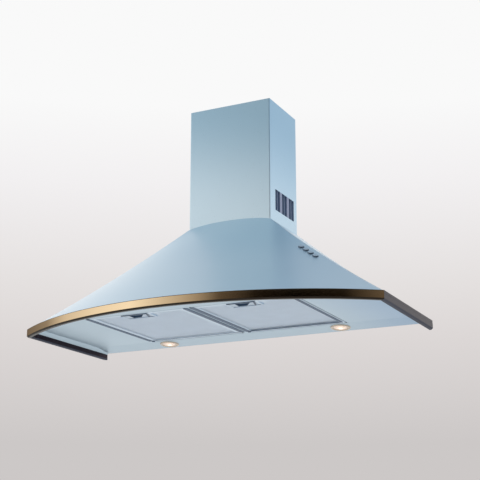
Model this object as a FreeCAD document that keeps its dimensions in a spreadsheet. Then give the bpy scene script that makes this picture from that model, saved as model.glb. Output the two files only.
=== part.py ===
"""Wall chimney hood, 90 cm wide, with a curved front trim and two drop-down grease filters.

Millimetres.  X runs to the right seen from the front, Y into the wall, whose face is Y = 0, and Z up.
The origin is the middle of the four wall bolts.  Heights in the sheet are taken from the lower edge of
the frame, which lies hang_up below the origin.
"""
import FreeCAD
import Part
import math
import os

import Sketcher
from FreeCAD import Placement, Rotation, Vector

# name: (millimetres, unless it is an angle or a count; what it measures)
SIZES = {
    "hang_up": (120, "lower edge of the frame to the middle of the wall bolts"),
    "bolt_span": (360, "wall bolts, across"),
    "bolt_rise": (90, "wall bolts, up"),
    "bolt_hole_radius": (4, "hole for a wall bolt"),
    "fit_gap": (0.3, "clearance between pieces that pass or face each other"),
    "running_gap": (0.05, "radial clearance of a shaft or pin in its bore"),
    "sheet_wall": (1.2, "steel sheet of panel, chimney and plates"),
    # frame round the lower edge
    "canopy_width": (900, "over the two side rails"),
    "side_depth": (340, "wall to the front end of a side rail"),
    "centre_depth": (492, "wall to the middle of the curved trim"),
    "frame_height": (20.5, "trim and side rails"),
    "frame_wall": (10, "trim and side rails, level thickness"),
    "frame_lip": (2.5, "outer wall that stands above the ledge"),
    "ledge_up": (14, "ledge that carries the panel"),
    "trim_bevel": (3, "slanted lower edge of the frame"),
    "trim_round": (0.8, "upper edge of the trim"),
    "rail_round": (6, "rounded rear end of a side rail"),
    "mitre_gap": (0.3, "joint between trim and rail"),
    # canopy shell
    "shell_gap": (0.3, "shell to the lip of the frame"),
    "shell_wall": (2, "shell, measured level through its slope"),
    "shell_hem": (1.2, "upright hem of the shell"),
    "foot_up": (274, "shell meets the sides of the chimney"),
    "foot_rise": (9, "how much higher it meets the middle of its front"),
    "crown_rise": (16, "top of the shell before the chimney is let in"),
    "waist_up": (97, "section where the shell sags most"),
    "waist_sag": (7, "sag of the shell below a straight side"),
    "back_wall": (1.5, "back plate"),
    # chimney
    "chimney_width": (220, "over its sides"),
    "chimney_depth": (159, "wall to its front"),
    "chimney_top": (582, "its upper edge"),
    "chimney_lap": (8, "how far it reaches below foot_up"),
    "chimney_fold": (12, "folds along its rear edges"),
    "vent_up": (302, "lower end of the vent slots"),
    "vent_height": (53, "vent slots"),
    "vent_slot": (28, "width of a vent slot"),
    "vent_bar": (13, "bar between two vent slots"),
    "vent_rear": (19, "wall to the nearest vent slot"),
    "vent_count": (3, "vent slots in a side"),
    "vent_vane": (3, "upright vane behind the middle of a slot"),
    "vent_depth": (10, "vent grille behind the slots"),
    "vent_back": (2, "closed back of the vent grille"),
    "vent_lap": (4, "vent grille round the slots"),
    "bracket_up": (548, "wall bracket of the chimney"),
    "bracket_height": (20, "wall bracket of the chimney"),
    "bracket_wall": (2, "wall bracket of the chimney"),
    "bracket_set": (16, "its step away from the wall"),
    "bracket_tab": (24, "its tabs along the chimney's sides"),
    # underside panel
    "panel_up": (22, "lower face of the panel"),
    "skirt_run": (10, "level width of the slanted skirt"),
    "strip_depth": (62.5, "lamp strip, wall to bend"),
    "strip_drop": (5, "fall of the lamp strip towards the wall"),
    "panel_flange": (12, "upright flange on the back plate"),
    # grease filters
    "filter_width": (251, "filter frame"),
    "filter_depth": (300, "filter frame"),
    "filter_height": (9, "filter frame"),
    "filter_gap": (3, "filter frame to the panel"),
    "filter_middle": (9, "middle of the hood to a filter frame"),
    "filter_rim": (13, "lower rim round the mesh"),
    "filter_wall": (2, "wall of the filter frame"),
    "mesh_height": (5, "mesh pack"),
    "hinge_set": (5, "filter hinge from the frame's rear edge and from its lower face"),
    "hinge_pin_radius": (2, "hinge pins of a filter"),
    "hinge_pin_reach": (2.9, "length of a pin in its bracket"),
    "hinge_bracket_width": (6, "bracket for the hinge pins"),
    "hinge_bracket_length": (12, "bracket for the hinge pins"),
    "hinge_bracket_height": (8, "bracket above the panel"),
    # filter latches
    "latch_pocket_width": (60, "recess for the latch"),
    "latch_pocket_length": (26, "recess for the latch"),
    "latch_pocket_depth": (7, "recess for the latch"),
    "latch_pocket_set": (5, "front of the filter frame to the recess"),
    "latch_length": (14, "latch slide"),
    "latch_height": (5.5, "latch slide"),
    "latch_wing": (1.5, "runner of the latch in its groove"),
    "latch_tongue": (20, "width of the tongue"),
    "latch_tongue_height": (3, "tongue"),
    "latch_grip": (2.5, "finger lip below the filter"),
    "latch_grip_wall": (3, "finger lip"),
    # lamps
    "lamp_side": (233, "middle of the hood to a lamp"),
    "lamp_rear": (33, "wall to a lamp"),
    "lamp_ring_radius": (24, "lamp ring"),
    "lamp_ring_height": (2.5, "lamp ring below the panel"),
    "lamp_lens_radius": (18, "glass of a lamp"),
    "lamp_lens_wall": (2, "glass of a lamp"),
    "lamp_lens_dome": (2.5, "how far the glass bulges"),
    "lamp_cup_radius": (20.5, "reflector cup"),
    "lamp_cup_height": (26, "reflector cup"),
    "lamp_cup_wall": (1, "reflector cup"),
    "lamp_bulb_radius": (4.5, "halogen capsule"),
    "lamp_bulb_length": (16, "halogen capsule"),
    # push buttons
    "button_radius": (6.2, "push button"),
    "button_out": (3.5, "push button above the shell"),
    "button_pitch": (20, "one button to the next"),
    "button_count": (4, "push buttons"),
    "button_stem_radius": (3, "stem of a push button"),
    "button_from_edge": (31, "row of buttons to the right-hand edge of the shell, level"),
    "button_row_up": (150, "middle of the row of buttons"),
    "button_travel": (2.5, "how far a button goes in"),
    "switch_depth": (16, "switch block"),
    "switch_width": (20, "switch block"),
    # blower
    "duct_rear": (20, "wall to the duct"),
    "duct_inside": (118, "square duct under the spigot"),
    "duct_plate_up": (256, "plate that carries the blower"),
    "duct_plate_width": (226, "plate that carries the blower"),
    "duct_plate_depth": (162, "plate that carries the blower"),
    "collar_height": (30, "collar that locates the chimney"),
    "scroll_wall": (2, "blower housing"),
    "scroll_axis_rear": (120, "wall to the blower's axis"),
    "scroll_axis_up": (150, "blower's axis"),
    "scroll_step": (8, "growth of the scroll in each quarter turn"),
    "inlet_radius": (61, "air inlets of the scroll"),
    "wheel_radius": (70, "blower wheel"),
    "wheel_width": (110, "blower wheel"),
    "blade_depth": (12, "blades of the wheel, radially"),
    "blade_wall": (1, "blades of the wheel"),
    "blade_count": (30, "blades of the wheel"),
    "wheel_ring": (2.5, "end rings and middle disc"),
    "hub_radius": (10, "hub of the wheel"),
    "hub_length": (18, "hub of the wheel"),
    "shaft_radius": (4, "motor shaft"),
    "motor_radius": (42, "motor"),
    "motor_length": (62, "motor"),
    "motor_start": (16, "middle of the wheel to the motor"),
    "motor_boss": (12, "bearing boss of the motor"),
    "arm_width": (12, "arms of the motor bracket"),
    "arm_reach": (72, "arms of the motor bracket, from the axis"),
    "arm_wall": (3, "motor bracket"),
    "spigot_radius": (60, "outside of the air outlet"),
    "spigot_wall": (1.5, "air outlet"),
    "spigot_height": (45, "air outlet"),
    "spigot_flange": (6, "flange round the air outlet"),
    "flap_wall": (0.8, "damper flap"),
    "flap_up": (22, "damper pins above the plate"),
    "flap_set": (3.5, "damper pins from the middle of the outlet"),
    "flap_pin_radius": (1.5, "damper pins"),
    "flap_knuckle_radius": (2.6, "knuckle of a damper flap"),
    "flap_knuckle_length": (70, "knuckle of a damper flap"),
    "flap_stop": (2, "stops under the damper flaps"),
    # electrical pieces
    "box_width": (70, "terminal box and lamp transformer"),
    "box_height": (54, "terminal box and lamp transformer"),
    "box_depth": (36, "terminal box and lamp transformer"),
    "box_side": (200, "middle of the hood to the near side of a box"),
    "box_up": (62, "lower side of a box"),
    "box_lid": (3, "lid of the terminal box"),
    "capacitor_radius": (14, "motor capacitor"),
    "capacitor_length": (50, "motor capacitor"),
    "capacitor_side": (88, "middle of the hood to the capacitor"),
    "gland_radius": (8, "cable gland"),
    "gland_bore": (4.5, "its bore"),
    "gland_height": (14, "its height above the plate"),
    "gland_side": (88, "middle of the hood to the gland"),
    "gland_rear": (24, "wall to the gland"),
}


class Size:
    """A length that carries both its formula, for the document, and its value, for first guesses."""

    def __init__(self, formula, value):
        self.formula = formula
        self.value = value

    @staticmethod
    def of(thing):
        return thing if isinstance(thing, Size) else Size(repr(float(thing)), float(thing))

    def _join(self, sign, other, value):
        return Size(f"({self.formula} {sign} {Size.of(other).formula})", value)

    def __add__(self, other):
        return self._join("+", other, self.value + Size.of(other).value)

    def __radd__(self, other):
        return Size.of(other) + self

    def __sub__(self, other):
        return self._join("-", other, self.value - Size.of(other).value)

    def __rsub__(self, other):
        return Size.of(other) - self

    def __mul__(self, other):
        return self._join("*", other, self.value * Size.of(other).value)

    def __rmul__(self, other):
        return Size.of(other) * self

    def __truediv__(self, other):
        return self._join("/", other, self.value / Size.of(other).value)

    def __neg__(self):
        return self * -1

    def squared(self):
        return self * self

    def root(self):
        return Size(f"sqrt({self.formula})", math.sqrt(self.value))


class Sheet:
    """The driving dimensions: one attribute for each row of the spreadsheet."""

    def __init__(self, document):
        self.cells = document.addObject("Spreadsheet::Sheet", "Sizes")
        for row, (name, (value, note)) in enumerate(SIZES.items(), start=1):
            self.cells.set(f"A{row}", name)
            self.cells.set(f"B{row}", str(value))
            self.cells.set(f"C{row}", note)
            self.cells.setAlias(f"B{row}", name)
        document.recompute()
        for name in SIZES:
            setattr(self, name, Size(f"Sizes.{name}", float(getattr(self.cells, name))))


doc = FreeCAD.newDocument("ChimneyHood")
d = Sheet(doc)
nodes = []

# ---------------------------------------------------------------- drawing helpers


def bind(item, path, size):
    """Ties one property of an object to a size."""
    item.setExpression(path, Size.of(size).formula)


def node(kind, label):
    """Adds a sub-part, whose heights count from the lower edge of the frame."""
    item = doc.addObject(kind, label)
    item.Label = label
    nodes.append(item)
    return item


def new_body(label):
    """Adds a sub-part that is built from sketches."""
    body = node("PartDesign::Body", label)
    bind(body, "Placement.Base.z", -d.hang_up)
    return body


def sketch_on(body, plane_role, lift=0.0, turn=None):
    """Adds a sketch on an origin plane: X and Y, X and Z (lift runs to -Y), or Y and Z (lift to +X)."""
    sketch = body.newObject("Sketcher::SketchObject", "Sketch")
    plane = next(item for item in body.Origin.OriginFeatures if item.Role == plane_role)
    sketch.AttachmentSupport = [(plane, "")]
    sketch.MapMode = "FlatFace"
    if turn is not None:
        sketch.AttachmentOffset = turn
    else:
        bind(sketch, "AttachmentOffset.Base.z", lift)
    return sketch


def pin_point(sketch, curve, end, place):
    """Fixes one point of a curve at a place measured from the sketch's origin."""
    for kind, size in zip(("DistanceX", "DistanceY"), place):
        size = Size.of(size)
        index = sketch.addConstraint(Sketcher.Constraint(kind, -1, 1, curve, end, size.value))
        bind(sketch, f"Constraints[{index}]", size)


def spot(place):
    return Vector(Size.of(place[0]).value, Size.of(place[1]).value, 0)


def outline(sketch, *steps):
    """Draws a closed outline.  A step is a corner, or a pair: a place that the arc passes, its corner."""
    corners = [step[1] if isinstance(step[0], tuple) else step for step in steps]
    ends = []
    for index, step in enumerate(steps):
        start = corners[index - 1]
        if isinstance(step[0], tuple):
            edge = Part.Arc(spot(start), spot(step[0]), spot(step[1]))
        else:
            edge = Part.LineSegment(spot(start), spot(step))
        curve = sketch.addGeometry(edge)
        first = 1 if sketch.getPoint(curve, 1).distanceToPoint(spot(start)) < 1e-6 else 2
        pin_point(sketch, curve, first, start)
        ends.append((curve, first, 3 - first))
        if isinstance(step[0], tuple):
            passed = sketch.addGeometry(Part.Point(spot(step[0])), True)
            pin_point(sketch, passed, 1, step[0])
            sketch.addConstraint(Sketcher.Constraint("PointOnObject", passed, 1, curve))
    for (curve, _, last), (follower, first, _) in zip(ends, ends[1:] + ends[:1]):
        sketch.addConstraint(Sketcher.Constraint("Coincident", curve, last, follower, first))


def rectangle(sketch, low, high):
    outline(sketch, (high[0], low[1]), high, (low[0], high[1]), low)


def circle(sketch, middle, radius):
    radius = Size.of(radius)
    curve = sketch.addGeometry(Part.Circle(spot(middle), Vector(0, 0, 1), radius.value))
    pin_point(sketch, curve, 3, middle)
    index = sketch.addConstraint(Sketcher.Constraint("Radius", curve, radius.value))
    bind(sketch, f"Constraints[{index}]", radius)


def pad(body, sketch, length, reverse=False, both_ways=False):
    feature = body.newObject("PartDesign::Pad", "Pad")
    feature.Profile = sketch
    feature.Reversed = reverse
    feature.Midplane = both_ways
    bind(feature, "Length", length)
    doc.recompute()
    return feature


def pocket(body, sketch, depth, along=False, both_ways=False):
    """Cuts against the sketch's own direction, or along it, and makes sure that something went."""
    before = body.Shape.Volume
    feature = body.newObject("PartDesign::Pocket", "Pocket")
    feature.Profile = sketch
    feature.Reversed = along
    feature.Midplane = both_ways
    bind(feature, "Length", depth)
    doc.recompute()
    if not body.Shape.Volume < before:
        raise RuntimeError(f"{body.Label}: a pocket cut nothing")
    return feature


def loft(body, sections, cut=False, ruled=True):
    feature = body.newObject("PartDesign::SubtractiveLoft" if cut else "PartDesign::AdditiveLoft", "Loft")
    feature.Profile = sections[0]
    feature.Sections = sections[1:]
    feature.Ruled = ruled
    doc.recompute()
    return feature


def revolve(body, sketch, axis="V_Axis"):
    feature = body.newObject("PartDesign::Revolution", "Revolution")
    feature.Profile = sketch
    feature.ReferenceAxis = (sketch, [axis])
    feature.Angle = 360
    doc.recompute()
    return feature


def row_of(body, original, sketch, axis, length, count):
    """Repeats a feature along one axis of its sketch."""
    feature = body.newObject("PartDesign::LinearPattern", "LinearPattern")
    feature.Originals = [original]
    feature.Direction = (sketch, [axis])
    bind(feature, "Length", length)
    bind(feature, "Occurrences", count)
    body.Tip = feature
    doc.recompute()
    return feature


def ring_of(body, original, sketch, count):
    """Repeats a feature round its sketch's origin."""
    feature = body.newObject("PartDesign::PolarPattern", "PolarPattern")
    feature.Originals = [original]
    feature.Axis = (sketch, ["N_Axis"])
    feature.Angle = 360
    bind(feature, "Occurrences", count)
    body.Tip = feature
    doc.recompute()
    return feature


def soften(body, kind, size, wanted):
    """Fillets or chamfers the edges of a body for which wanted(edge) holds."""
    base = body.Tip
    edges = [f"Edge{index}" for index, edge in enumerate(base.Shape.Edges, start=1) if wanted(edge)]
    if not edges:
        raise RuntimeError(f"{body.Label}: no edge to {kind}")
    feature = body.newObject(f"PartDesign::{kind}", kind)
    feature.Base = (base, edges)
    bind(feature, "Radius" if kind == "Fillet" else "Size", size)
    doc.recompute()
    return feature


def level_at(edge, height):
    return all(abs(vertex.Z - height.value) < 1e-4 for vertex in edge.Vertexes)


# ---------------------------------------------------------------- shared geometry

half_width = d.canopy_width / 2
bow = d.centre_depth - d.side_depth
bow_radius = (half_width.squared() + bow.squared()) / (bow * 2)


def frame_line(inset):
    """Half width, side depth and centre depth of the frame's outline, moved inwards."""
    half = half_width - inset
    side = ((bow_radius - inset).squared() - half.squared()).root() - (bow_radius - d.centre_depth)
    return half, side, d.centre_depth - inset


def curved_outline(sketch, half, side, centre, rear):
    """An outline that is straight at the wall and sides and curved at the front."""
    outline(sketch, (-half, -side), ((0, -centre), (half, -side)), (half, rear), (-half, rear))


def band_outline(sketch, outer, inner):
    """The curved band between two outlines of the frame, with mitred ends."""
    half, side, centre = frame_line(outer)
    inner_half, inner_side, inner_centre = frame_line(inner)
    outline(sketch, (-half, -side), ((0, -centre), (half, -side)), (inner_half, -inner_side),
            ((0, -inner_centre), (-inner_half, -inner_side)))


strip_slope = d.strip_drop / (d.strip_depth - d.back_wall)
panel_top = d.panel_up + d.sheet_wall
rear_panel_up = d.panel_up - d.strip_drop
shell_start = d.frame_lip + d.shell_gap
shell_low = d.ledge_up + d.sheet_wall
filter_low = d.panel_up
filter_rear = d.strip_depth + d.filter_gap
filter_front = filter_rear + d.filter_depth
filter_outer = d.filter_middle + d.filter_width
hinge_rear = filter_rear + d.hinge_set
hinge_up = filter_low + d.hinge_set
vent_pitch = d.vent_slot + d.vent_bar
duct_middle = d.duct_rear + d.duct_inside / 2
duct_plate_top = d.duct_plate_up + d.sheet_wall


def section_sizes(low):
    """Height, half width, side depth and front depth of the canopy at its hem, waist and crown."""
    half, side, centre = frame_line(shell_start)
    rise = d.foot_up - d.frame_height
    front_rise = rise + d.foot_rise
    foot_half, foot_side = d.chimney_width / 2, d.chimney_depth
    fall = d.waist_up + d.waist_sag - d.frame_height
    share, front_share = fall / rise, fall / front_rise
    crown, front_crown = d.crown_rise / rise, (d.crown_rise - d.foot_rise) / front_rise
    return [
        (low, half, side, centre),
        (d.waist_up, half - share * (half - foot_half), side - share * (side - foot_side),
         centre - front_share * (centre - foot_side)),
        (d.foot_up + d.crown_rise, foot_half - crown * (half - foot_half),
         foot_side - crown * (side - foot_side), foot_side - front_crown * (centre - foot_side)),
    ]


def shell_sections(body, inset, low, rear):
    """The canopy's three sections as sketches, moved inwards by inset."""
    sections = []
    for height, across, deep, front in section_sizes(low):
        sketch = sketch_on(body, "XY_Plane", height)
        curved_outline(sketch, across - inset, deep - inset, front - inset, rear)
        sections.append(sketch)
    return sections


# ---------------------------------------------------------------- frame and canopy


def front_trim():
    body = new_body("front_trim")
    ledge = sketch_on(body, "XY_Plane")
    band_outline(ledge, 0, d.frame_wall)
    pad(body, ledge, d.ledge_up)
    lip = sketch_on(body, "XY_Plane", d.ledge_up)
    band_outline(lip, 0, d.frame_lip)
    pad(body, lip, d.frame_height - d.ledge_up)

    def at_front(edge, height):
        curve = edge.Curve
        return (isinstance(curve, Part.Circle) and level_at(edge, Size.of(height))
                and abs(curve.Radius - bow_radius.value) < 1e-3)

    soften(body, "Chamfer", d.trim_bevel, lambda edge: at_front(edge, 0))
    soften(body, "Chamfer", d.trim_round, lambda edge: at_front(edge, d.frame_height))


def side_rail(label, hand):
    body = new_body(label)
    half, side, _ = frame_line(0)
    inner_half, inner_side, _ = frame_line(d.frame_wall)
    lip_half, lip_side, _ = frame_line(d.frame_lip)
    round_off = d.rail_round * (1 - math.sqrt(0.5))
    start = sketch_on(body, "XY_Plane")
    outline(start, (half * hand, -side + d.mitre_gap), (half * hand, -d.rail_round),
            (((half - round_off) * hand, -round_off), ((half - d.rail_round) * hand, 0)),
            (inner_half * hand, 0), (inner_half * hand, -inner_side + d.mitre_gap))
    pad(body, start, d.ledge_up)
    lip = sketch_on(body, "XY_Plane", d.ledge_up)
    outline(lip, (half * hand, -side + d.mitre_gap), (half * hand, -d.rail_round),
            (lip_half * hand, -d.rail_round), (lip_half * hand, -lip_side + d.mitre_gap))
    pad(body, lip, d.frame_height - d.ledge_up)

    def outer_low(edge):
        along = abs(edge.Vertexes[0].Y - edge.Vertexes[-1].Y) > d.rail_round.value
        outside = all(abs(abs(vertex.X) - half.value) < 1e-4 for vertex in edge.Vertexes)
        return level_at(edge, Size.of(0)) and along and outside

    soften(body, "Chamfer", d.trim_bevel, outer_low)


def button_frame(shell_face):
    """Where the row of buttons sits: its middle on the shell, with Z out of it and X down the slope."""
    def on_shell(height):
        rise = d.foot_up - d.frame_height
        share = (height - d.frame_height) / rise
        across = half_width - share * (half_width - d.chimney_width / 2) - d.button_from_edge
        ray = Part.makeLine(Vector(across.value, -d.centre_depth.value * 2, height.value),
                            Vector(across.value, 0, height.value))
        hits = [vertex.Point for vertex in shell_face.common(ray).Vertexes]
        return min(hits, key=lambda point: point.y)

    middle = on_shell(d.button_row_up)
    slope = on_shell(d.button_row_up - d.button_pitch / 2) - on_shell(d.button_row_up + d.button_pitch / 2)
    slope.normalize()
    nearest = shell_face.distToShape(Part.Vertex(middle))[1][0][0]
    face = min(shell_face.Faces, key=lambda item: item.distToShape(Part.Vertex(nearest))[0])
    u, v = face.Surface.parameter(nearest)
    out = face.normalAt(u, v)
    if out.y > 0:
        out = out * -1
    across = out.cross(slope)
    return Placement(nearest, Rotation(slope, across, out, "ZXY"))


def canopy_shell():
    body = new_body("canopy_shell")
    hem = sketch_on(body, "XY_Plane", shell_low)
    curved_outline(hem, *frame_line(shell_start), -d.back_wall)
    pad(body, hem, d.frame_height - shell_low)
    loft(body, shell_sections(body, 0, d.frame_height, -d.back_wall), ruled=False)
    place = button_frame(body.Shape.copy().translated(Vector(0, 0, d.hang_up.value)))
    inside = sketch_on(body, "XY_Plane", shell_low)
    curved_outline(inside, *frame_line(shell_start + d.shell_hem), d.back_wall)
    pocket(body, inside, d.frame_height - shell_low, along=True)
    loft(body, shell_sections(body, d.shell_wall, d.frame_height, d.back_wall), cut=True, ruled=False)
    seat = sketch_on(body, "XY_Plane", d.foot_up - d.crown_rise)
    half, front = d.chimney_width / 2 + d.fit_gap, d.chimney_depth + d.fit_gap
    rectangle(seat, (-half, -front), (half, d.back_wall))
    pocket(body, seat, d.crown_rise * 3, along=True)
    row = sketch_on(body, "XY_Plane", turn=place)
    for index in range(int(d.button_count.value)):
        circle(row, (d.button_pitch * (index - (d.button_count.value - 1) / 2), 0),
               d.button_radius + d.fit_gap * 2)
    pocket(body, row, d.shell_wall * 4, both_ways=True)
    return place


def back_plate():
    """Plate on the wall, outlined by the rear ends of the shell's three sections."""
    body = new_body("back_plate")
    low, waist, crown = (across for _, across, _, _ in section_sizes(d.frame_height))
    top = d.foot_up + d.crown_rise
    outlined = sketch_on(body, "XZ_Plane")
    outline(outlined, (-low, rear_panel_up), (low, rear_panel_up), (low, d.frame_height),
            ((waist, d.waist_up), (crown, top)), (-crown, top),
            ((-waist, d.waist_up), (-low, d.frame_height)))
    pad(body, outlined, d.back_wall)
    upper = sketch_on(body, "XY_Plane", d.foot_up - d.chimney_lap)
    rectangle(upper, (-half_width, -d.back_wall * 2), (half_width, d.back_wall))
    pocket(body, upper, d.crown_rise * 3, along=True)
    bolts = sketch_on(body, "XZ_Plane")
    for across in (-1, 1):
        for up in (-1, 1):
            circle(bolts, (d.bolt_span / 2 * across, d.hang_up + d.bolt_rise / 2 * up), d.bolt_hole_radius)
    pocket(body, bolts, d.back_wall * 3, both_ways=True)


# ---------------------------------------------------------------- underside panel and lamps


def underside_panel():
    body = new_body("underside_panel")
    flange = sketch_on(body, "XY_Plane", d.ledge_up)
    curved_outline(flange, *frame_line(d.frame_lip + d.shell_gap), -d.back_wall)
    pad(body, flange, d.sheet_wall)
    rise = d.panel_up - d.ledge_up
    slope = d.skirt_run / rise
    lap = d.sheet_wall * (slope.squared() + 1).root()
    outer = []
    for height in (d.ledge_up, panel_top):
        section = sketch_on(body, "XY_Plane", height)
        curved_outline(section, *frame_line(d.frame_wall - lap + (height - d.ledge_up) * slope), -d.back_wall)
        outer.append(section)
    loft(body, outer)
    inner = []
    for height in (d.ledge_up - 1, d.panel_up):
        section = sketch_on(body, "XY_Plane", height)
        curved_outline(section, *frame_line(d.frame_wall + (height - d.ledge_up) * slope), d.back_wall)
        inner.append(section)
    loft(body, inner, cut=True)
    flat_half = half_width - d.frame_wall - d.skirt_run
    opening = sketch_on(body, "XY_Plane", d.panel_up - 1)
    rectangle(opening, (-flat_half + 1, -d.strip_depth), (flat_half - 1, d.back_wall))
    pocket(body, opening, d.sheet_wall * 3, along=True)
    strip = []
    for rear, low, lean in ((d.strip_depth, d.panel_up, 0), (d.back_wall, rear_panel_up, d.strip_drop)):
        section = sketch_on(body, "XZ_Plane", rear)
        half = flat_half + 1 + slope * lean
        rectangle(section, (-half, low), (half, low + d.sheet_wall))
        strip.append(section)
    loft(body, strip)
    upright = sketch_on(body, "XZ_Plane", d.back_wall)
    rectangle(upright, (-flat_half, rear_panel_up), (flat_half, rear_panel_up + d.panel_flange))
    pad(body, upright, d.sheet_wall)
    holes = sketch_on(body, "XY_Plane", d.ledge_up)
    for hand in (-1, 1):
        near = (d.filter_middle - d.filter_gap) * hand
        far = (filter_outer + d.filter_gap) * hand
        rectangle(holes, (near, -filter_front - d.filter_gap), (far, -d.strip_depth))
        circle(holes, (d.lamp_side * hand, -d.lamp_rear), d.lamp_cup_radius + d.fit_gap * 3)
    pocket(body, holes, d.panel_up, along=True)


def lamp_place(side):
    """The seat of a lamp: square to the slanted strip, on its lower face."""
    up = d.panel_up - strip_slope * (d.strip_depth - d.lamp_rear)
    angle = Size(f"atan({strip_slope.formula})", math.degrees(math.atan(strip_slope.value)))
    return side, -d.lamp_rear, up - d.hang_up, angle


def seat_lamp(body, hand):
    across, deep, up, angle = lamp_place(d.lamp_side * hand)
    body.Placement = Placement(Vector(0, 0, 0), Rotation(Vector(-1, 0, 0), angle.value))
    bind(body, "Placement.Base.x", across)
    bind(body, "Placement.Base.y", deep)
    bind(body, "Placement.Base.z", up)
    bind(body, "Placement.Rotation.Angle", angle)


def lamp(prefix, hand):
    """Ring, glass, reflector cup and halogen capsule of one lamp."""
    ring = node("PartDesign::Body", f"{prefix}_lamp_ring")
    seat_lamp(ring, hand)
    inside = d.lamp_lens_radius + d.fit_gap
    section = sketch_on(ring, "XZ_Plane")
    outline(section, (d.lamp_ring_radius - d.lamp_ring_height / 2, -d.lamp_ring_height),
            (d.lamp_ring_radius, -d.lamp_ring_height / 3), (d.lamp_ring_radius, 0),
            (inside, 0), (inside, -d.lamp_lens_wall / 2),
            (inside - 1.5, -d.lamp_lens_wall / 2), (inside - 1.5, -d.lamp_ring_height))
    revolve(ring, section)

    lens = node("PartDesign::Body", f"{prefix}_lamp_lens")
    seat_lamp(lens, hand)
    rim = d.lamp_lens_radius - 2.2
    section = sketch_on(lens, "XZ_Plane")
    half_wall = d.lamp_lens_wall / 2
    outline(section, (0, -half_wall - d.lamp_lens_dome), (rim / 2, -half_wall - d.lamp_lens_dome * 0.75),
            (rim, -half_wall), (d.lamp_lens_radius, -half_wall), (d.lamp_lens_radius, half_wall),
            (0, half_wall))
    revolve(lens, section)

    cup = node("PartDesign::Body", f"{prefix}_lamp_cup")
    seat_lamp(cup, hand)
    outer, inner = d.lamp_cup_radius, d.lamp_cup_radius - d.lamp_cup_wall
    socket = d.lamp_bulb_radius + d.fit_gap
    section = sketch_on(cup, "XZ_Plane")
    outline(section, (inner, 0), (outer, 0), (outer, d.lamp_cup_height * 0.45),
            (outer * 0.6, d.lamp_cup_height * 0.8), (outer * 0.6, d.lamp_cup_height),
            (socket, d.lamp_cup_height), (socket, d.lamp_cup_height * 0.8 - d.lamp_cup_wall),
            (inner, d.lamp_cup_height * 0.45 - d.lamp_cup_wall))
    revolve(cup, section)

    bulb = node("PartDesign::Body", f"{prefix}_lamp_bulb")
    seat_lamp(bulb, hand)
    tip = d.lamp_cup_height - d.lamp_bulb_length
    radius = d.lamp_bulb_radius
    section = sketch_on(bulb, "XZ_Plane")
    outline(section, (radius / 2, tip), (radius, tip + radius / 2), (radius, d.lamp_cup_height),
            (0, d.lamp_cup_height), (0, tip))
    revolve(bulb, section)


# ---------------------------------------------------------------- filters


def latch_middle(hand):
    return (d.filter_middle + d.filter_width / 2) * hand


def filter_frame(prefix, hand):
    body = new_body(f"{prefix}_filter_frame")
    near, far = d.filter_middle * hand, filter_outer * hand
    wall, rim = d.filter_wall, d.filter_rim
    middle = latch_middle(hand)
    block = sketch_on(body, "XY_Plane", filter_low)
    rectangle(block, (near, -filter_front), (far, -filter_rear))
    pad(body, block, d.filter_height)
    tray = sketch_on(body, "XY_Plane", filter_low + wall)
    housing_half = d.latch_pocket_width / 2 + wall * 2
    housing_rear = filter_front - d.latch_pocket_set - d.latch_pocket_length - wall
    outline(tray, (near + wall * hand, -filter_front + wall),
            (middle - housing_half * hand, -filter_front + wall),
            (middle - housing_half * hand, -housing_rear), (middle + housing_half * hand, -housing_rear),
            (middle + housing_half * hand, -filter_front + wall), (far - wall * hand, -filter_front + wall),
            (far - wall * hand, -filter_rear - wall), (near + wall * hand, -filter_rear - wall))
    pocket(body, tray, d.filter_height, along=True)
    window = sketch_on(body, "XY_Plane", filter_low)
    housing_near, housing_far = middle - housing_half * hand, middle + housing_half * hand
    outline(window, (near + rim * hand, -filter_front + rim), (housing_near, -filter_front + rim),
            (housing_near, -housing_rear), (housing_far, -housing_rear), (housing_far, -filter_front + rim),
            (far - rim * hand, -filter_front + rim), (far - rim * hand, -filter_rear - rim),
            (near + rim * hand, -filter_rear - rim))
    pocket(body, window, wall * 2, along=True)
    pocket_half = d.latch_pocket_width / 2
    start = filter_front - d.latch_pocket_set
    recess = sketch_on(body, "XY_Plane", filter_low)
    rectangle(recess, (middle - pocket_half, -start), (middle + pocket_half, -start + d.latch_pocket_length))
    pocket(body, recess, d.latch_pocket_depth, along=True)
    grooves = sketch_on(body, "XZ_Plane", start)
    groove_half = pocket_half + d.latch_wing
    low = filter_low + d.filter_wall
    high = low + d.latch_wing + d.fit_gap * 2
    rectangle(grooves, (middle - groove_half, low), (middle + groove_half, high))
    pocket(body, grooves, d.latch_pocket_length)
    slot = sketch_on(body, "XZ_Plane", filter_front)
    tongue_half = d.latch_tongue / 2 + d.fit_gap
    tongue_low = tongue_up() - d.fit_gap
    rectangle(slot, (middle - tongue_half, tongue_low),
              (middle + tongue_half, tongue_low + d.latch_tongue_height + d.fit_gap * 2))
    pocket(body, slot, d.latch_pocket_set * 1.5)
    pins = sketch_on(body, "YZ_Plane", near)
    circle(pins, (-hinge_rear, hinge_up), d.hinge_pin_radius)
    reach = d.filter_gap + d.hinge_pin_reach
    pad(body, pins, reach + wall, reverse=hand > 0)
    far_pins = sketch_on(body, "YZ_Plane", far)
    circle(far_pins, (-hinge_rear, hinge_up), d.hinge_pin_radius)
    pad(body, far_pins, reach + wall, reverse=hand < 0)


def tongue_up():
    return panel_top + 1.5


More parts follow.
